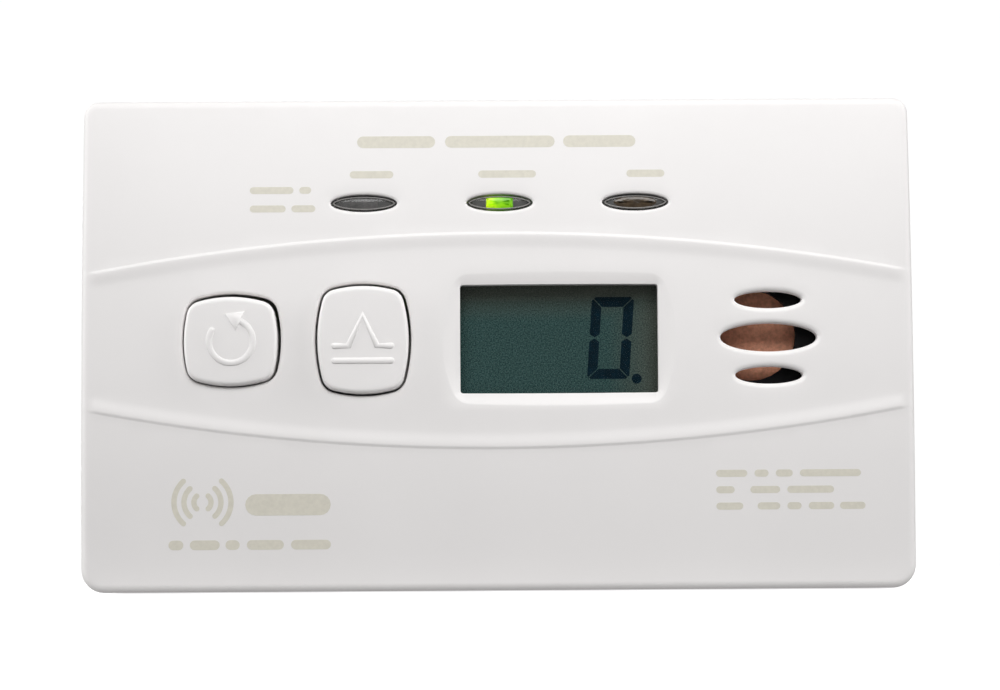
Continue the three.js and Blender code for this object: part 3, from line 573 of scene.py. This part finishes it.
SEGMENT_LOOK = display_segment()
# the bead's pale grey is a painted highlight: it stands for the light line along each lens's inner rim
PAINTED_RIM_HIGHLIGHT_LOOK = plain_plastic("lens_bead_painted_highlight", (0.3, 0.29, 0.28), 0.2, 0.35)
INK_LOOK = legend_ink("legend_ink", (0.72, 0.69, 0.6))


EDGE_BREAK, EDGE_ANGLE = 0.12, 50  # width of a broken edge, and the least angle that has one


def finish_frame():
    """Gives every CAD node the finish of its record slot, and breaks its hard edges."""
    for row in frame["record"]["subparts"]:
        node = frame["nodes"][row["node"]]
        node.data.materials.clear()
        node.data.materials.append(LOOKS[row["material_slot"]])
        bevel = node.modifiers.new("broken_edges", "BEVEL")
        bevel.width = EDGE_BREAK * MM
        bevel.segments = 2
        bevel.limit_method = "ANGLE"
        bevel.angle_limit = math.radians(EDGE_ANGLE)
        bevel.use_clamp_overlap = True


# ------------------------------------------------------------------ front cover
def crown(z):
    """How far the bowed front lies behind its middle at a height."""
    return (z - MID_Z) ** 2 / (2 * CROWN_RADIUS)


def crest_height(x):
    """How far above and below RIDGE_Z the ridges' crests are."""
    return RIDGE_HALF - (RIDGE_ARC - math.sqrt(RIDGE_ARC**2 - x**2))


def eased(share):
    """0 to 1 with a soft start and end."""
    share = min(max(share, 0.0), 1.0)
    return share * share * (3 - 2 * share)


def ridge(x, z):
    """How far the front stands behind (+) or in front of (-) its plain crown."""
    past = abs(z - RIDGE_Z) - crest_height(x)
    faded = eased((BORDER_HALF + FILLET - RIDGE_END - abs(x)) / RIDGE_FADE)
    if past >= 0:
        return -RIDGE_HEIGHT * (1 - eased(past / RIDGE_OUTER)) * faded
    return (-RIDGE_HEIGHT + (RIDGE_HEIGHT + BAND_STEP) * eased(-past / RIDGE_INNER)) * faded


def face_y(x, z):
    return FACE_Y + crown(z) + ridge(x, z)


def inner_y(x, z):
    return FACE_Y + WALL + crown(z)


# Rows of mesh points along a ridge, from its inner foot over its crest to its outer foot.
INNER_SHARES = (-1.0, -0.82, -0.65, -0.5, -0.36, -0.24, -0.14, -0.06)
OUTER_SHARES = (0.0, 0.12, 0.28, 0.5, 0.72, 0.88, 1.0)
RIDGE_ROWS = [
    *(share * RIDGE_INNER for share in INNER_SHARES),
    *(share * RIDGE_OUTER for share in OUTER_SHARES),
]
RIDGE_COLUMNS = 116
EDGE_STEPS = 76  # along the top and the bottom
SIDE_STEPS = 44
CORNER_STEPS = 8
ROW_CLEARANCE = 0.35  # the least height between a ridge's rows and the others
LIP_STEPS = 7
GRID = 1.5  # between the points of the plain front
GRID_CLEARANCE = 0.5  # from the grid to a ridge's foot


def border_loop():
    """The front's flat border as ((x, z), outward normal), anticlockwise from low on the right."""
    low, high = CORNER_BOTTOM - FILLET, CORNER_TOP - FILLET
    crest = crest_height(BORDER_HALF)
    rows = [RIDGE_Z + side * (crest + row) for side in (-1, 1) for row in RIDGE_ROWS]
    ends = BORDER_LOW + low, BORDER_HIGH - high
    plain = [
        z
        for z in spread(*ends, SIDE_STEPS)[1:-1]
        if all(abs(z - row) > ROW_CLEARANCE for row in rows)
    ]
    levels = sorted(rows + plain)
    corners = [
        (BORDER_HALF - low, BORDER_LOW + low, low, -90),
        (BORDER_HALF - high, BORDER_HIGH - high, high, 0),
        (-BORDER_HALF + high, BORDER_HIGH - high, high, 90),
        (-BORDER_HALF + low, BORDER_LOW + low, low, 180),
    ]
    across = spread(-1, 1, EDGE_STEPS)[1:-1]
    sides = [
        [((BORDER_HALF, z), (1, 0)) for z in levels],
        [((-x * (BORDER_HALF - high), BORDER_HIGH), (0, 1)) for x in across],
        [((-BORDER_HALF, z), (-1, 0)) for z in reversed(levels)],
        [((x * (BORDER_HALF - low), BORDER_LOW), (0, -1)) for x in across],
    ]
    loop = []
    for (x, z, radius, start), side in zip(corners, sides):
        for degrees in spread(start, start + 90, CORNER_STEPS):
            nx, nz = math.cos(math.radians(degrees)), math.sin(math.radians(degrees))
            loop.append(((x + radius * nx, z + radius * nz), (nx, nz)))
        loop.extend(side)
    return loop


def flank(border, out, y, ridge_share):
    """Points out from the border and back from the front, with a share of the ridges' relief."""
    points = []
    for (x, z), (nx, nz) in border:
        up = nz * (out if nz > 0 else min(out, FILLET))
        base = FACE_Y + crown(z) + ridge(x, z) * ridge_share
        points.append((x + nx * out, base + y, z + up))
    return points


def level(border, out, y):
    """Points out from the border, all at one y."""
    return [(x, y, z) for x, _, z in flank(border, out, 0, 0)]


def rounded_lip(outline, width, depth):
    """Rings of (outline, depths) that turn from the face into a hole, over a quarter of an ellipse."""
    rings = []
    for degrees in spread(0, 90, LIP_STEPS):
        angle = math.radians(degrees)
        ring = outline(width * (1 - math.sin(angle)))
        rings.append((ring, [depth * (1 - math.cos(angle))] * len(ring)))
    return rings


def display_bevel():
    """Rings from the soft outer edge of the display's bevel down to its crisp opening.

    It is steepest along its foot and almost level along its top.
    """
    wide = pillow(DISPLAY_MIDDLE.x, FEATURE_Z, **DISPLAY_BEVEL)()
    narrow = pillow(DISPLAY_MIDDLE.x, FEATURE_Z, **DISPLAY)()
    usual, extra = (BEVEL_FOOT + BEVEL_TOP) / 2, (BEVEL_FOOT - BEVEL_TOP) / 2
    soft_start = 1.4  # above 1, the slope begins gently
    rings = []
    for share in (0, 0.06, 0.12, 0.2, 0.3, 0.42, 0.55, 0.7, 0.85, 1):
        ring = mixed(wide, narrow, share)
        rises = [max(-1.0, min(1.0, (z - FEATURE_Z) / DISPLAY["b"])) for _, z in ring]
        depths = [(usual - extra * rise) * share**soft_start for rise in rises]
        rings.append((ring, depths))
    return rings


def openings():
    """Every opening in the front, as rings of (outline, depths below the face)."""
    found = [display_bevel()]
    for shape in BUTTON_OPENINGS.values():
        found.append(rounded_lip(pillow(z=FEATURE_Z, **shape), *BUTTON_LIP))
    for light in LIGHTS:
        middle = middle_mm(f"{light}_lens")
        found.append(rounded_lip(ellipse(middle.x, middle.z, LIGHT_A, LIGHT_B), *LIGHT_LIP))
    for rise, a, b in VENTS:
        found.append(rounded_lip(ellipse(VENT_X, FEATURE_Z + rise, a, b), *VENT_LIP))
    return found


def surface_points(holes):
    """Points spread over the front: rows along both ridges, and a grid elsewhere."""
    clear = [(hole, around(hole)) for hole in holes]
    points = []
    columns = spread(-BORDER_HALF, BORDER_HALF, RIDGE_COLUMNS)[1:-1]
    for side in (-1, 1):
        for row in RIDGE_ROWS:
            points.extend((x, RIDGE_Z + side * (crest_height(x) + row)) for x in columns)
    across = round(2 * BORDER_HALF / GRID)
    upward = round((BORDER_HIGH - BORDER_LOW) / GRID)
    for x in spread(-BORDER_HALF, BORDER_HALF, across)[1:-1]:
        for z in spread(BORDER_LOW, BORDER_HIGH, upward)[1:-1]:
            past = abs(z - RIDGE_Z) - crest_height(x)
            on_ridge = -RIDGE_INNER - GRID_CLEARANCE < past < RIDGE_OUTER + GRID_CLEARANCE
            if not on_ridge and not in_any(clear, x, z):
                points.append((x, z))
    return points


def cut_openings(skin, cuts):
    """The walls of every opening, given as the loops in the face and those in the inner face."""
    mouths = []
    insides = []
    for rings in cuts:
        base = [face_y(x, z) for x, z in rings[0][0]]
        loops = []
        for outline, depths in rings:
            points = [(x, y + depth, z) for (x, z), y, depth in zip(outline, base, depths)]
            loops.append(skin.add(points))
        loops.append(skin.add([(x, inner_y(x, z), z) for x, z in rings[-1][0]]))
        skin.stack(loops)
        mouths.append(loops[0])
        insides.append(loops[-1])
    return mouths, insides


def wrap_sides(skin, border, edge):
    """The fillet, sides and rim from the face's edge to the loop that ends the inner face."""
    chamfer, inner_chamfer = 0.15, 0.2
    outer = FILLET + DRAFT
    loops = [edge]
    for degrees in (12, 24, 36, 48, 60, 75, 90):
        angle = math.radians(degrees)
        out, back = FILLET * math.sin(angle), FILLET * (1 - math.cos(angle))
        loops.append(skin.add(flank(border, out, back, math.cos(angle))))
    for out, y in (
        (FILLET + DRAFT / 2, (FACE_Y + COVER_BACK) / 2),
        (outer, COVER_BACK - chamfer),
        (outer - chamfer, COVER_BACK),
        (outer - WALL + inner_chamfer, COVER_BACK),
    ):
        loops.append(skin.add(level(border, out, y)))
    rim = level(border, outer - WALL, 0)
    loops.append(skin.add([(x, inner_y(x, z), z) for x, _, z in rim]))
    skin.stack(loops)
    return loops[-1]


def make_front_cover():
    skin = Skin()
    cuts = openings()
    mouths, insides = cut_openings(skin, cuts)
    border = border_loop()
    edge = skin.add(flank(border, 0, 0, 1))
    clearance = 1.2  # across an opening, kept free of grid points
    grown = []
    for rings in cuts:
        x0, x1, z0, z1 = around(rings[0][0])
        grown.append(shrunk(rings[0][0], 1 + clearance / min(x1 - x0, z1 - z0)))
    skin.fill(edge, mouths, surface_points(grown), face_y)
    inner_edge = wrap_sides(skin, border, edge)
    margin, across, upward = 4, 24, 14
    xs = spread(-BORDER_HALF + margin, BORDER_HALF - margin, across)
    zs = spread(BORDER_LOW + margin, BORDER_HIGH - margin, upward)
    wide = [shrunk(rings[-1][0], 1.15) for rings in cuts]
    wide = [(outline, around(outline)) for outline in wide]
    spare = [(x, z) for x in xs for z in zs if not in_any(wide, x, z)]
    skin.fill(inner_edge, insides, spare, inner_y)
    cover = skin.build("front_cover_skin", LOOKS["case_white"])
    fit(cover, "alarm_case", "case_white", "front_cover")


# ------------------------------------------------------------------ buttons
def make_button(name):
    """A slightly crowned cap with a rolled edge, on a skirt that ends in a flange behind the cover."""
    shape = dict(BUTTON_OPENINGS[name])
    aside, up = BUTTON_OFFSETS[name]
    outline = pillow(shape.pop("x") + aside, FEATURE_Z + up, **shape)
    top = outline(-BUTTON_GAP - BUTTON_ROLL)
    skin = Skin()
    loops = []
    for share in (0.12, 0.3, 0.5, 0.7, 0.86, 0.95, 1.0):
        loops.append(skin.ring(shrunk(top, share), FRONT_Y + BUTTON_CROWN * share**2))
    skin.cap(loops[0])
    for degrees in (12, 25, 38, 52, 66, 79, 90):
        angle = math.radians(degrees)
        grown = outline(-BUTTON_GAP - BUTTON_ROLL * (1 - math.sin(angle)))
        y = FRONT_Y + BUTTON_CROWN + BUTTON_ROLL * (1 - math.cos(angle))
        loops.append(skin.ring(grown, y))
    flange, thickness, hollow = 0.9, 0.9, 1.5
    skirt = BUTTON_BACK - 1.0
    back = skirt + thickness
    for offset, y in ((-BUTTON_GAP, skirt), (flange, skirt), (flange, back), (-hollow, back)):
        loops.append(skin.ring(outline(offset), y))
    skin.stack(loops)
    skin.cap(loops[-1])
    cap = skin.build(f"{name}_button_cap", LOOKS["button_white"])
    fit(cap, f"{name}_key", "button_white", f"{name}_button")


BURIED = 0.05  # how deep a raised mark's foot is sunk, so that no gap shows
END_STEPS = 8  # round a stroke's end


def raised(skin, outline, height, front, soft):
    """A convex patch standing height proud of front(x, z), its edge softened by soft."""
    x0, x1, z0, z1 = around(outline)
    top = shrunk(outline, 1 - 2 * soft / min(x1 - x0, z1 - z0))
    rings = [(outline, -BURIED), (outline, height - soft), (top, height)]
    loops = [skin.add([(x, front(x, z) - up, z) for x, z in ring]) for ring, up in rings]
    skin.stack(loops)
    skin.cap(loops[0])
    skin.cap(loops[-1])


def stroke(skin, path, width, height, front, soft=0.0):
    """A raised line along path with round ends, height proud of front(x, z)."""
    sides = []
    for i, (x, z) in enumerate(path):
        ax, az = path[max(i - 1, 0)]
        bx, bz = path[min(i + 1, len(path) - 1)]
        length = math.hypot(bx - ax, bz - az)
        sides.append((x, z, (az - bz) / length, (bx - ax) / length))
    levels = [(1, -BURIED), (1, height - soft)]
    if soft:
        levels.append((1 - 2 * soft / width, height))
    loops = []
    for share, up in levels:
        half = width / 2 * share
        left = [(x + nx * half, z + nz * half) for x, z, nx, nz in sides]
        right = [(x - nx * half, z - nz * half) for x, z, nx, nz in reversed(sides)]
        ends = []
        for (x, z, nx, nz), sign in ((sides[-1], 1), (sides[0], -1)):
            first = math.atan2(nz * sign, nx * sign)
            turns = spread(first, first - math.pi, END_STEPS)[1:-1]
            ends.append([(x + half * math.cos(a), z + half * math.sin(a)) for a in turns])
        ring = [*left, *ends[0], *right, *ends[1]]
        loops.append(skin.add([(px, front(px, pz) - up, pz) for px, pz in ring]))
    skin.stack(loops)
    count, turning = len(path), END_STEPS - 1
    for loop in (loops[0], loops[-1]):
        back = loop[count + turning : 2 * count + turning][::-1]
        for i in range(count - 1):
            skin.faces.append((loop[i], loop[i + 1], back[i + 1], back[i]))
        skin.faces.append(tuple(loop[count - 1 : count + turning + 1]))
        skin.faces.append((*loop[2 * count + turning - 1 :], loop[0]))


def arc_path(x, z, radius, start, stop, steps=24):
    angles = [math.radians(a) for a in spread(start, stop, steps)]
    return [(x + radius * math.cos(a), z + radius * math.sin(a)) for a in angles]


MARK = dict(width=0.85, height=0.13, soft=0.08)  # a pictogram's line


def button_front(x, z):
    """A level just behind a button's top, from which its pictogram stands out."""
    return FRONT_Y + BUTTON_CROWN * 0.6


def make_round_arrow():
    """The test button's moulded pictogram: a round arrow, for test and reset."""
    x = BUTTON_OPENINGS["test"]["x"]
    z = FEATURE_Z + BUTTON_OFFSETS["test"][1]
    radius, start, stop = 3.1, 65, -210
    head_length, head_half = 2.3, 1.5
    skin = Skin()
    stroke(skin, arc_path(x, z, radius, start, stop), front=button_front, **MARK)
    along, out = math.radians(start + 90), math.radians(start)
    foot_x, foot_z = x + radius * math.cos(out), z + radius * math.sin(out)
    head = []
    for forward, side in ((0.0, head_half), (head_length, 0.0), (0.0, -head_half)):
        px = foot_x + forward * math.cos(along) + side * math.cos(out)
        pz = foot_z + forward * math.sin(along) + side * math.sin(out)
        head.append((px, pz))
    raised(skin, head, MARK["height"] + 0.02, button_front, MARK["soft"])
    mark = skin.build("test_button_mark", LOOKS["button_white"], 60)
    fit(mark, "test_key", "button_white")


def make_peak():
    """The peak level button's moulded pictogram: a peak over a level line."""
    x, z = BUTTON_OPENINGS["peak"]["x"], FEATURE_Z
    half, foot_half = 4, 2
    low, foot, top = z - 3.1, z - 1, z + 3.4
    skin = Skin()
    stroke(skin, [(x - half, low), (x + half, low)], front=button_front, **MARK)
    line = [
        (x - half, foot),
        (x - foot_half, foot),
        (x, top),
        (x + foot_half, foot),
        (x + half, foot),
    ]
    stroke(skin, line, front=button_front, **MARK)
    mark = skin.build("peak_button_mark", LOOKS["button_white"], 60)
    fit(mark, "peak_key", "button_white")


# ------------------------------------------------------------------ lights
LENS_GAP = 0.14  # round a lens in its opening
GUIDE_SLOTS = {"alarm": "red_led", "operate": "green_led", "fault": "amber_led"}
GUIDE_NOSES = {"alarm": 0.52, "operate": 0.24, "fault": 0.27}  # depth of a guide's tip


def make_lens(name, outline, face):
    """A smoked lens: a domed platform inside a shallow channel."""
    platform_share, front, dome = 0.86, 0.3, 0.14
    platform = shrunk(outline(), platform_share)
    skin = Skin()
    loops = []
    for share in (0.1, 0.3, 0.55, 0.8, 1.0):
        loops.append(skin.ring(shrunk(platform, share), face + front + dome * share**2))
    skin.cap(loops[0])
    channel = ((0.88, 0.62), (0.93, 0.66), (0.97, 0.6), (1.0, 0.7))
    back = ((1.0, 1.5), (0.8, 1.5), (0.72, 1.25))
    for share, depth in (*channel, *back):
        loops.append(skin.ring(shrunk(outline(), share), face + depth))
    skin.stack(loops)
    skin.cap(loops[-1])
    lens = skin.build(f"{name}_lens_moulding", LOOKS["smoked_lens"], 30)
    fit(lens, "alarm_case", "smoked_lens", f"{name}_lens")


def make_bead(name, outline, face):
    """The bead that runs round a lens, just inside its edge, coloured pale as a painted highlight of
    the lens's rim.
    """
    skin = Skin()
    loops = []
    for offset, y in ((-0.16, 0.45), (-0.19, 0.22), (-0.25, 0.18), (-0.31, 0.22), (-0.34, 0.45)):
        loops.append(skin.ring(outline(offset), face + y))
    skin.stack([*loops, loops[0]])
    bead = skin.build(f"{name}_lens_bead_painted_highlight", PAINTED_RIM_HIGHLIGHT_LOOK)
    fit(bead, "alarm_case", "smoked_lens")


def make_light_guide(name, middle, face):
    """The guide that brings a diode's light to its lens, and shows through it."""
    if name == "fault":
        guide = ellipse(middle.x, middle.z, 3.1, 0.95)
    else:
        guide = pillow(middle.x, middle.z, a=1.95, b=0.86, side=9.0, cap=14.0, corner=0.35)
    nose = face + GUIDE_NOSES[name]
    back = box_mm(f"{name}_led")[0].y - 0.1
    skin = Skin()
    loops = []
    for offset, y in ((-0.6, nose), (-0.2, nose + 0.04), (0, nose + 0.16), (0, back)):
        loops.append(skin.ring(guide(offset), y))
    skin.cap(loops[0])
    skin.stack(loops)
    skin.cap(loops[-1])
    slot = GUIDE_SLOTS[name]
    fit(skin.build(f"{name}_light_guide", LOOKS[slot]), "alarm_case", slot)


def make_light(name):
    middle = middle_mm(f"{name}_lens")
    face = face_y(middle.x, middle.z)
    outline = ellipse(middle.x, middle.z, LIGHT_A - LENS_GAP, LIGHT_B - LENS_GAP)
    make_lens(name, outline, face)
    make_bead(name, outline, face)
    make_light_guide(name, middle, face)


# ------------------------------------------------------------------ display
SEGMENT = 1.42  # width of a dark segment
SEGMENT_GAP = 0.09  # half the gap between two segments
SEGMENT_CORNER = 0.45  # cut off a digit's corners
SEGMENT_SHOULDER = 0.55  # length of an upright segment's point
SEGMENT_PROUD, SEGMENT_SUNK = 0.03, 0.02  # of the panel's front
DIGIT = (6.0, 11.7)  # a digit's width and height to its segments' outer edges
DIGIT_MIDDLE = (7.42, 0.31)  # from the display's middle
POINT_RADIUS = 0.7
POINT_ASIDE = 0.66  # from the digit's right edge to the point's middle
LEAN = math.tan(math.radians(4))


def segment_outlines():
    """The top segment and the upper right one, from the digit's middle."""
    half_w, half_h = DIGIT[0] / 2, DIGIT[1] / 2
    gap, cut, corner = SEGMENT_GAP, SEGMENT, SEGMENT_CORNER
    flat = [
        (half_w - corner, half_h),
        (half_w - corner / 2 - gap, half_h - corner / 2),
        (half_w - cut - gap, half_h - cut),
    ]
    flat += [(-x, z) for x, z in reversed(flat)]
    upright = [
        (half_w, half_h - corner),
        (half_w, SEGMENT_SHOULDER),
        (half_w - cut / 2, gap),
        (half_w - cut, SEGMENT_SHOULDER),
        (half_w - cut, half_h - cut - gap),
        (half_w - corner / 2, half_h - corner / 2 - gap),
    ]
    return flat, upright


def make_digit():
    """A nought of six mitred segments with its point, on the front of the display's panel."""
    x, z = DISPLAY_MIDDLE.x + DIGIT_MIDDLE[0], FEATURE_Z + DIGIT_MIDDLE[1]
    front = box_mm("lcd_panel")[0].y
    flat, upright = segment_outlines()
    copies = [(flat, 1, up) for up in (1, -1)]
    copies += [(upright, aside, up) for aside in (1, -1) for up in (1, -1)]
    skin = Skin()
    for shape, aside, up in copies:
        outline = [(x + aside * px + up * pz * LEAN, z + up * pz) for px, pz in shape]
        front_loop = skin.ring(outline, front - SEGMENT_PROUD)
        back_loop = skin.ring(outline, front + SEGMENT_SUNK)
        skin.join(front_loop, back_loop)
        skin.faces.append(tuple(front_loop))
        skin.faces.append(tuple(reversed(back_loop)))
    point_x, point_z = x + DIGIT[0] / 2 + POINT_ASIDE, z - DIGIT[1] / 2
    point = ellipse(point_x, point_z, POINT_RADIUS, POINT_RADIUS, 32)()
    loops = [skin.ring(point, front - SEGMENT_PROUD), skin.ring(point, front + SEGMENT_SUNK)]
    skin.join(*loops)
    skin.cap(loops[0])
    skin.cap(loops[1])
    fit(skin.build("display_digit", SEGMENT_LOOK), "alarm_case", "display_glass")


# ------------------------------------------------------------------ printed marks
INK_PROUD = 0.012
TITLE_Z, TITLE_HEIGHT = 63.6, 1.7
TITLE = [(-19.8, -8.7), (-7.3, 8.3), (9.5, 19.8)]  # where each word's bar starts and ends
LAMP_Z, LAMP_HEIGHT = 58.9, 1.05
LAMP_HALVES = (3.1, 4.1, 2.7)  # half the length of the bar over each light
LAMP_SHIFTS = (1.1, 1.1, 1.5)  # how far right of its light each bar's middle is
SMALL_HEIGHT = 1.0
SMALL_ROWS = {
    56.7: [(-35.0, -28.8), (-28.0, -26.3)],
    54.05: [(-35.0, -29.9), (-29.1, -25.7)],
    16.2: [(30.6, 35.0), (36.0, 38.0), (39.0, 41.4), (42.4, 51.0)],
    13.9: [(30.6, 33.2), (35.4, 39.6), (40.6, 47.2)],
    11.6: [(30.6, 34.4), (36.4, 39.6), (40.6, 42.6), (43.6, 47.2), (48.0, 51.6)],
}
MAKER_Z, MAKER_HEIGHT = 12.2, 3.0
MAKER = [(-35.6, -23.6)]
LINE_Z, LINE_HEIGHT = 6.6, 1.35
LINE = [(-46.4, -44.3), (-43.4, -39.2), (-38.4, -36.4), (-35.4, -30.2), (-29.2, -23.6)]
WAVES_MIDDLE = (-41.6, 12.6)
WAVE_RADII = (1.2, 2.6, 4.0)
WAVE_WIDTH, WAVE_HALF_ANGLE = 0.75, 48


def bars(skin, starts_and_ends, z, height):
    """Plain rounded bars in a row, in place of printed words."""
    for x0, x1 in starts_and_ends:
        path = [(x, z) for x in spread(x0 + height / 2, x1 - height / 2, 12)]
        stroke(skin, path, height, INK_PROUD, face_y)


def make_printed_marks():
    """Blank bars where the real alarm has its printed words, and a plain pair of sound waves."""
    skin = Skin()
    bars(skin, TITLE, TITLE_Z, TITLE_HEIGHT)
    for light, half, shift in zip(LIGHTS, LAMP_HALVES, LAMP_SHIFTS):
        x = middle_mm(f"{light}_lens").x + shift
        bars(skin, [(x - half, x + half)], LAMP_Z, LAMP_HEIGHT)
    for z, words in SMALL_ROWS.items():
        bars(skin, words, z, SMALL_HEIGHT)
    bars(skin, MAKER, MAKER_Z, MAKER_HEIGHT)
    bars(skin, LINE, LINE_Z, LINE_HEIGHT)
    for radius in WAVE_RADII:
        for facing in (0, 180):
            span = facing - WAVE_HALF_ANGLE, facing + WAVE_HALF_ANGLE
            wave = arc_path(*WAVES_MIDDLE, radius, *span, 16)
            stroke(skin, wave, WAVE_WIDTH, INK_PROUD, face_y)
    fit(skin.build("printed_marks", INK_LOOK, 20), "alarm_case", "case_white")


# ------------------------------------------------------------------ studio
FLOOR_REACH, FLOOR_BELOW = 6.0, 0.0002  # in metres
FLOOR_LIGHT, FLOOR_SEEN = 0.2, 0.92  # how white the floor is as light, and to the camera
FLOOR_GLOW = 0.26  # its glow as light
NEAR_GLOW, FAR_GLOW = 0.6, 1.0  # its glow to the camera
WORLD_LIGHT, WORLD_SEEN = 0.272, 1.02


def emitter(name, place, aim, size, power):
    """A white rectangular light, with its place and size in metres and its power in watts."""
    light = bpy.data.lights.new(name, "AREA")
    light.shape = "RECTANGLE"
    light.size, light.size_y = size
    light.energy = power
    lamp = bpy.data.objects.new(name, light)
    lamp.location = place
    lamp.rotation_euler = (Vector(aim) - Vector(place)).to_track_quat("-Z", "Y").to_euler()
    bpy.context.scene.collection.objects.link(lamp)


def make_floor():
    """A plain white floor, its edge far out of sight.

    The camera sees it white. As light it is grey in front of the alarm, and glows a little
    from the foot of the alarm's front backwards, which keeps the front's lower edge pale.
    """
    mesh = bpy.data.meshes.new("studio_floor")
    corners = [(-1, -1), (1, -1), (1, 1), (-1, 1)]
    points = [(x * FLOOR_REACH, y * FLOOR_REACH, -FLOOR_BELOW) for x, y in corners]
    mesh.from_pydata(points, [], [(0, 1, 2, 3)])
    paint = Paint("studio_white", roughness=0.9, specular=0.1)
    paint.shader.inputs["Emission Color"].default_value = (1, 1, 1, 1)
    seen = paint.node("ShaderNodeLightPath").outputs["Is Camera Ray"]
    paint.colour(paint.remap(seen, FLOOR_LIGHT, FLOOR_SEEN, 0.0, 1.0))
    split = paint.node("ShaderNodeSeparateXYZ")
    paint.link(paint.place, split.inputs["Vector"])
    away = paint.node("ShaderNodeVectorMath", operation="LENGTH")
    paint.link(paint.place, away.inputs[0])
    start, stop = (FRONT_Y - 4.5) * MM, (FRONT_Y - 0.5) * MM
    as_light = paint.remap(split.outputs["Y"], 0.0, FLOOR_GLOW, start, stop)
    to_camera = paint.remap(away.outputs["Value"], NEAR_GLOW, FAR_GLOW, 0.1, 0.4)
    glow = paint.node("ShaderNodeMix", data_type="FLOAT")
    paint.link(seen, glow.inputs["Factor"])
    paint.link(as_light, glow.inputs["A"])
    paint.link(to_camera, glow.inputs["B"])
    paint.link(glow.outputs["Result"], paint.shader.inputs["Emission Strength"])
    mesh.materials.append(paint.material)
    floor = bpy.data.objects.new("studio_floor", mesh)
    bpy.context.scene.collection.objects.link(floor)


def make_world():
    """White where the camera looks past the object, and a softer grey as light."""
    world = bpy.data.worlds.new("studio")
    bpy.context.scene.world = world
    world.use_nodes = True
    tree = world.node_tree
    background = tree.nodes["Background"]
    path = tree.nodes.new("ShaderNodeLightPath")
    strength = tree.nodes.new("ShaderNodeMapRange")
    strength.inputs["To Min"].default_value = WORLD_LIGHT
    strength.inputs["To Max"].default_value = WORLD_SEEN
    tree.links.new(path.outputs["Is Camera Ray"], strength.inputs["Value"])
    tree.links.new(strength.outputs["Result"], background.inputs["Strength"])
    background.inputs["Color"].default_value = (1, 1, 1, 1)


def make_camera():
    """Low in front of the alarm and looking slightly up, with under half a degree of turn and roll."""
    distance = 375 * MM
    across, height = -2.6 * MM, 2.9 * MM
    turn, pitch, roll = (math.radians(angle) for angle in (-0.446, 4.8, -0.387))
    data = bpy.data.cameras.new("camera")
    lens_share = 0.2569  # of the distance, which sets how much of the picture the front fills
    data.lens = lens_share * distance / MM
    data.clip_start, data.clip_end = 0.01, 30
    camera = bpy.data.objects.new("camera", data)
    camera.location = (across, FRONT_Y * MM - distance, height)
    facing = Euler((math.pi / 2 + pitch, 0, turn), "XYZ").to_quaternion()
    camera.rotation_mode = "QUATERNION"
    camera.rotation_quaternion = facing @ Quaternion((0, 0, 1), roll)
    bpy.context.scene.collection.objects.link(camera)
    bpy.context.scene.camera = camera


def make_studio():
    make_floor()
    make_world()
    middle = (0, FRONT_Y * MM, MID_Z * MM)
    emitter("key_softbox", (0.02, -0.237, 0.197), middle, (0.3, 0.14), 0.62)
    emitter("right_strip", (0.42, -0.1, 0.22), middle, (0.12, 0.4), 0.74)
    emitter("back_softbox", (-0.12, 0.4, 0.13), middle, (0.4, 0.3), 1.0)
    emitter("left_strip", (-0.5, -0.06, 0.2), middle, (0.12, 0.4), 1.38)
    scene = bpy.context.scene
    scene.view_settings.view_transform = "Standard"
    scene.view_settings.look = "None"
    make_camera()


# ------------------------------------------------------------------ the whole alarm
finish_frame()
make_front_cover()
for button_name in BUTTON_OPENINGS:
    make_button(button_name)
make_round_arrow()
make_peak()
for light_name in LIGHTS:
    make_light(light_name)
make_digit()
make_printed_marks()
make_studio()
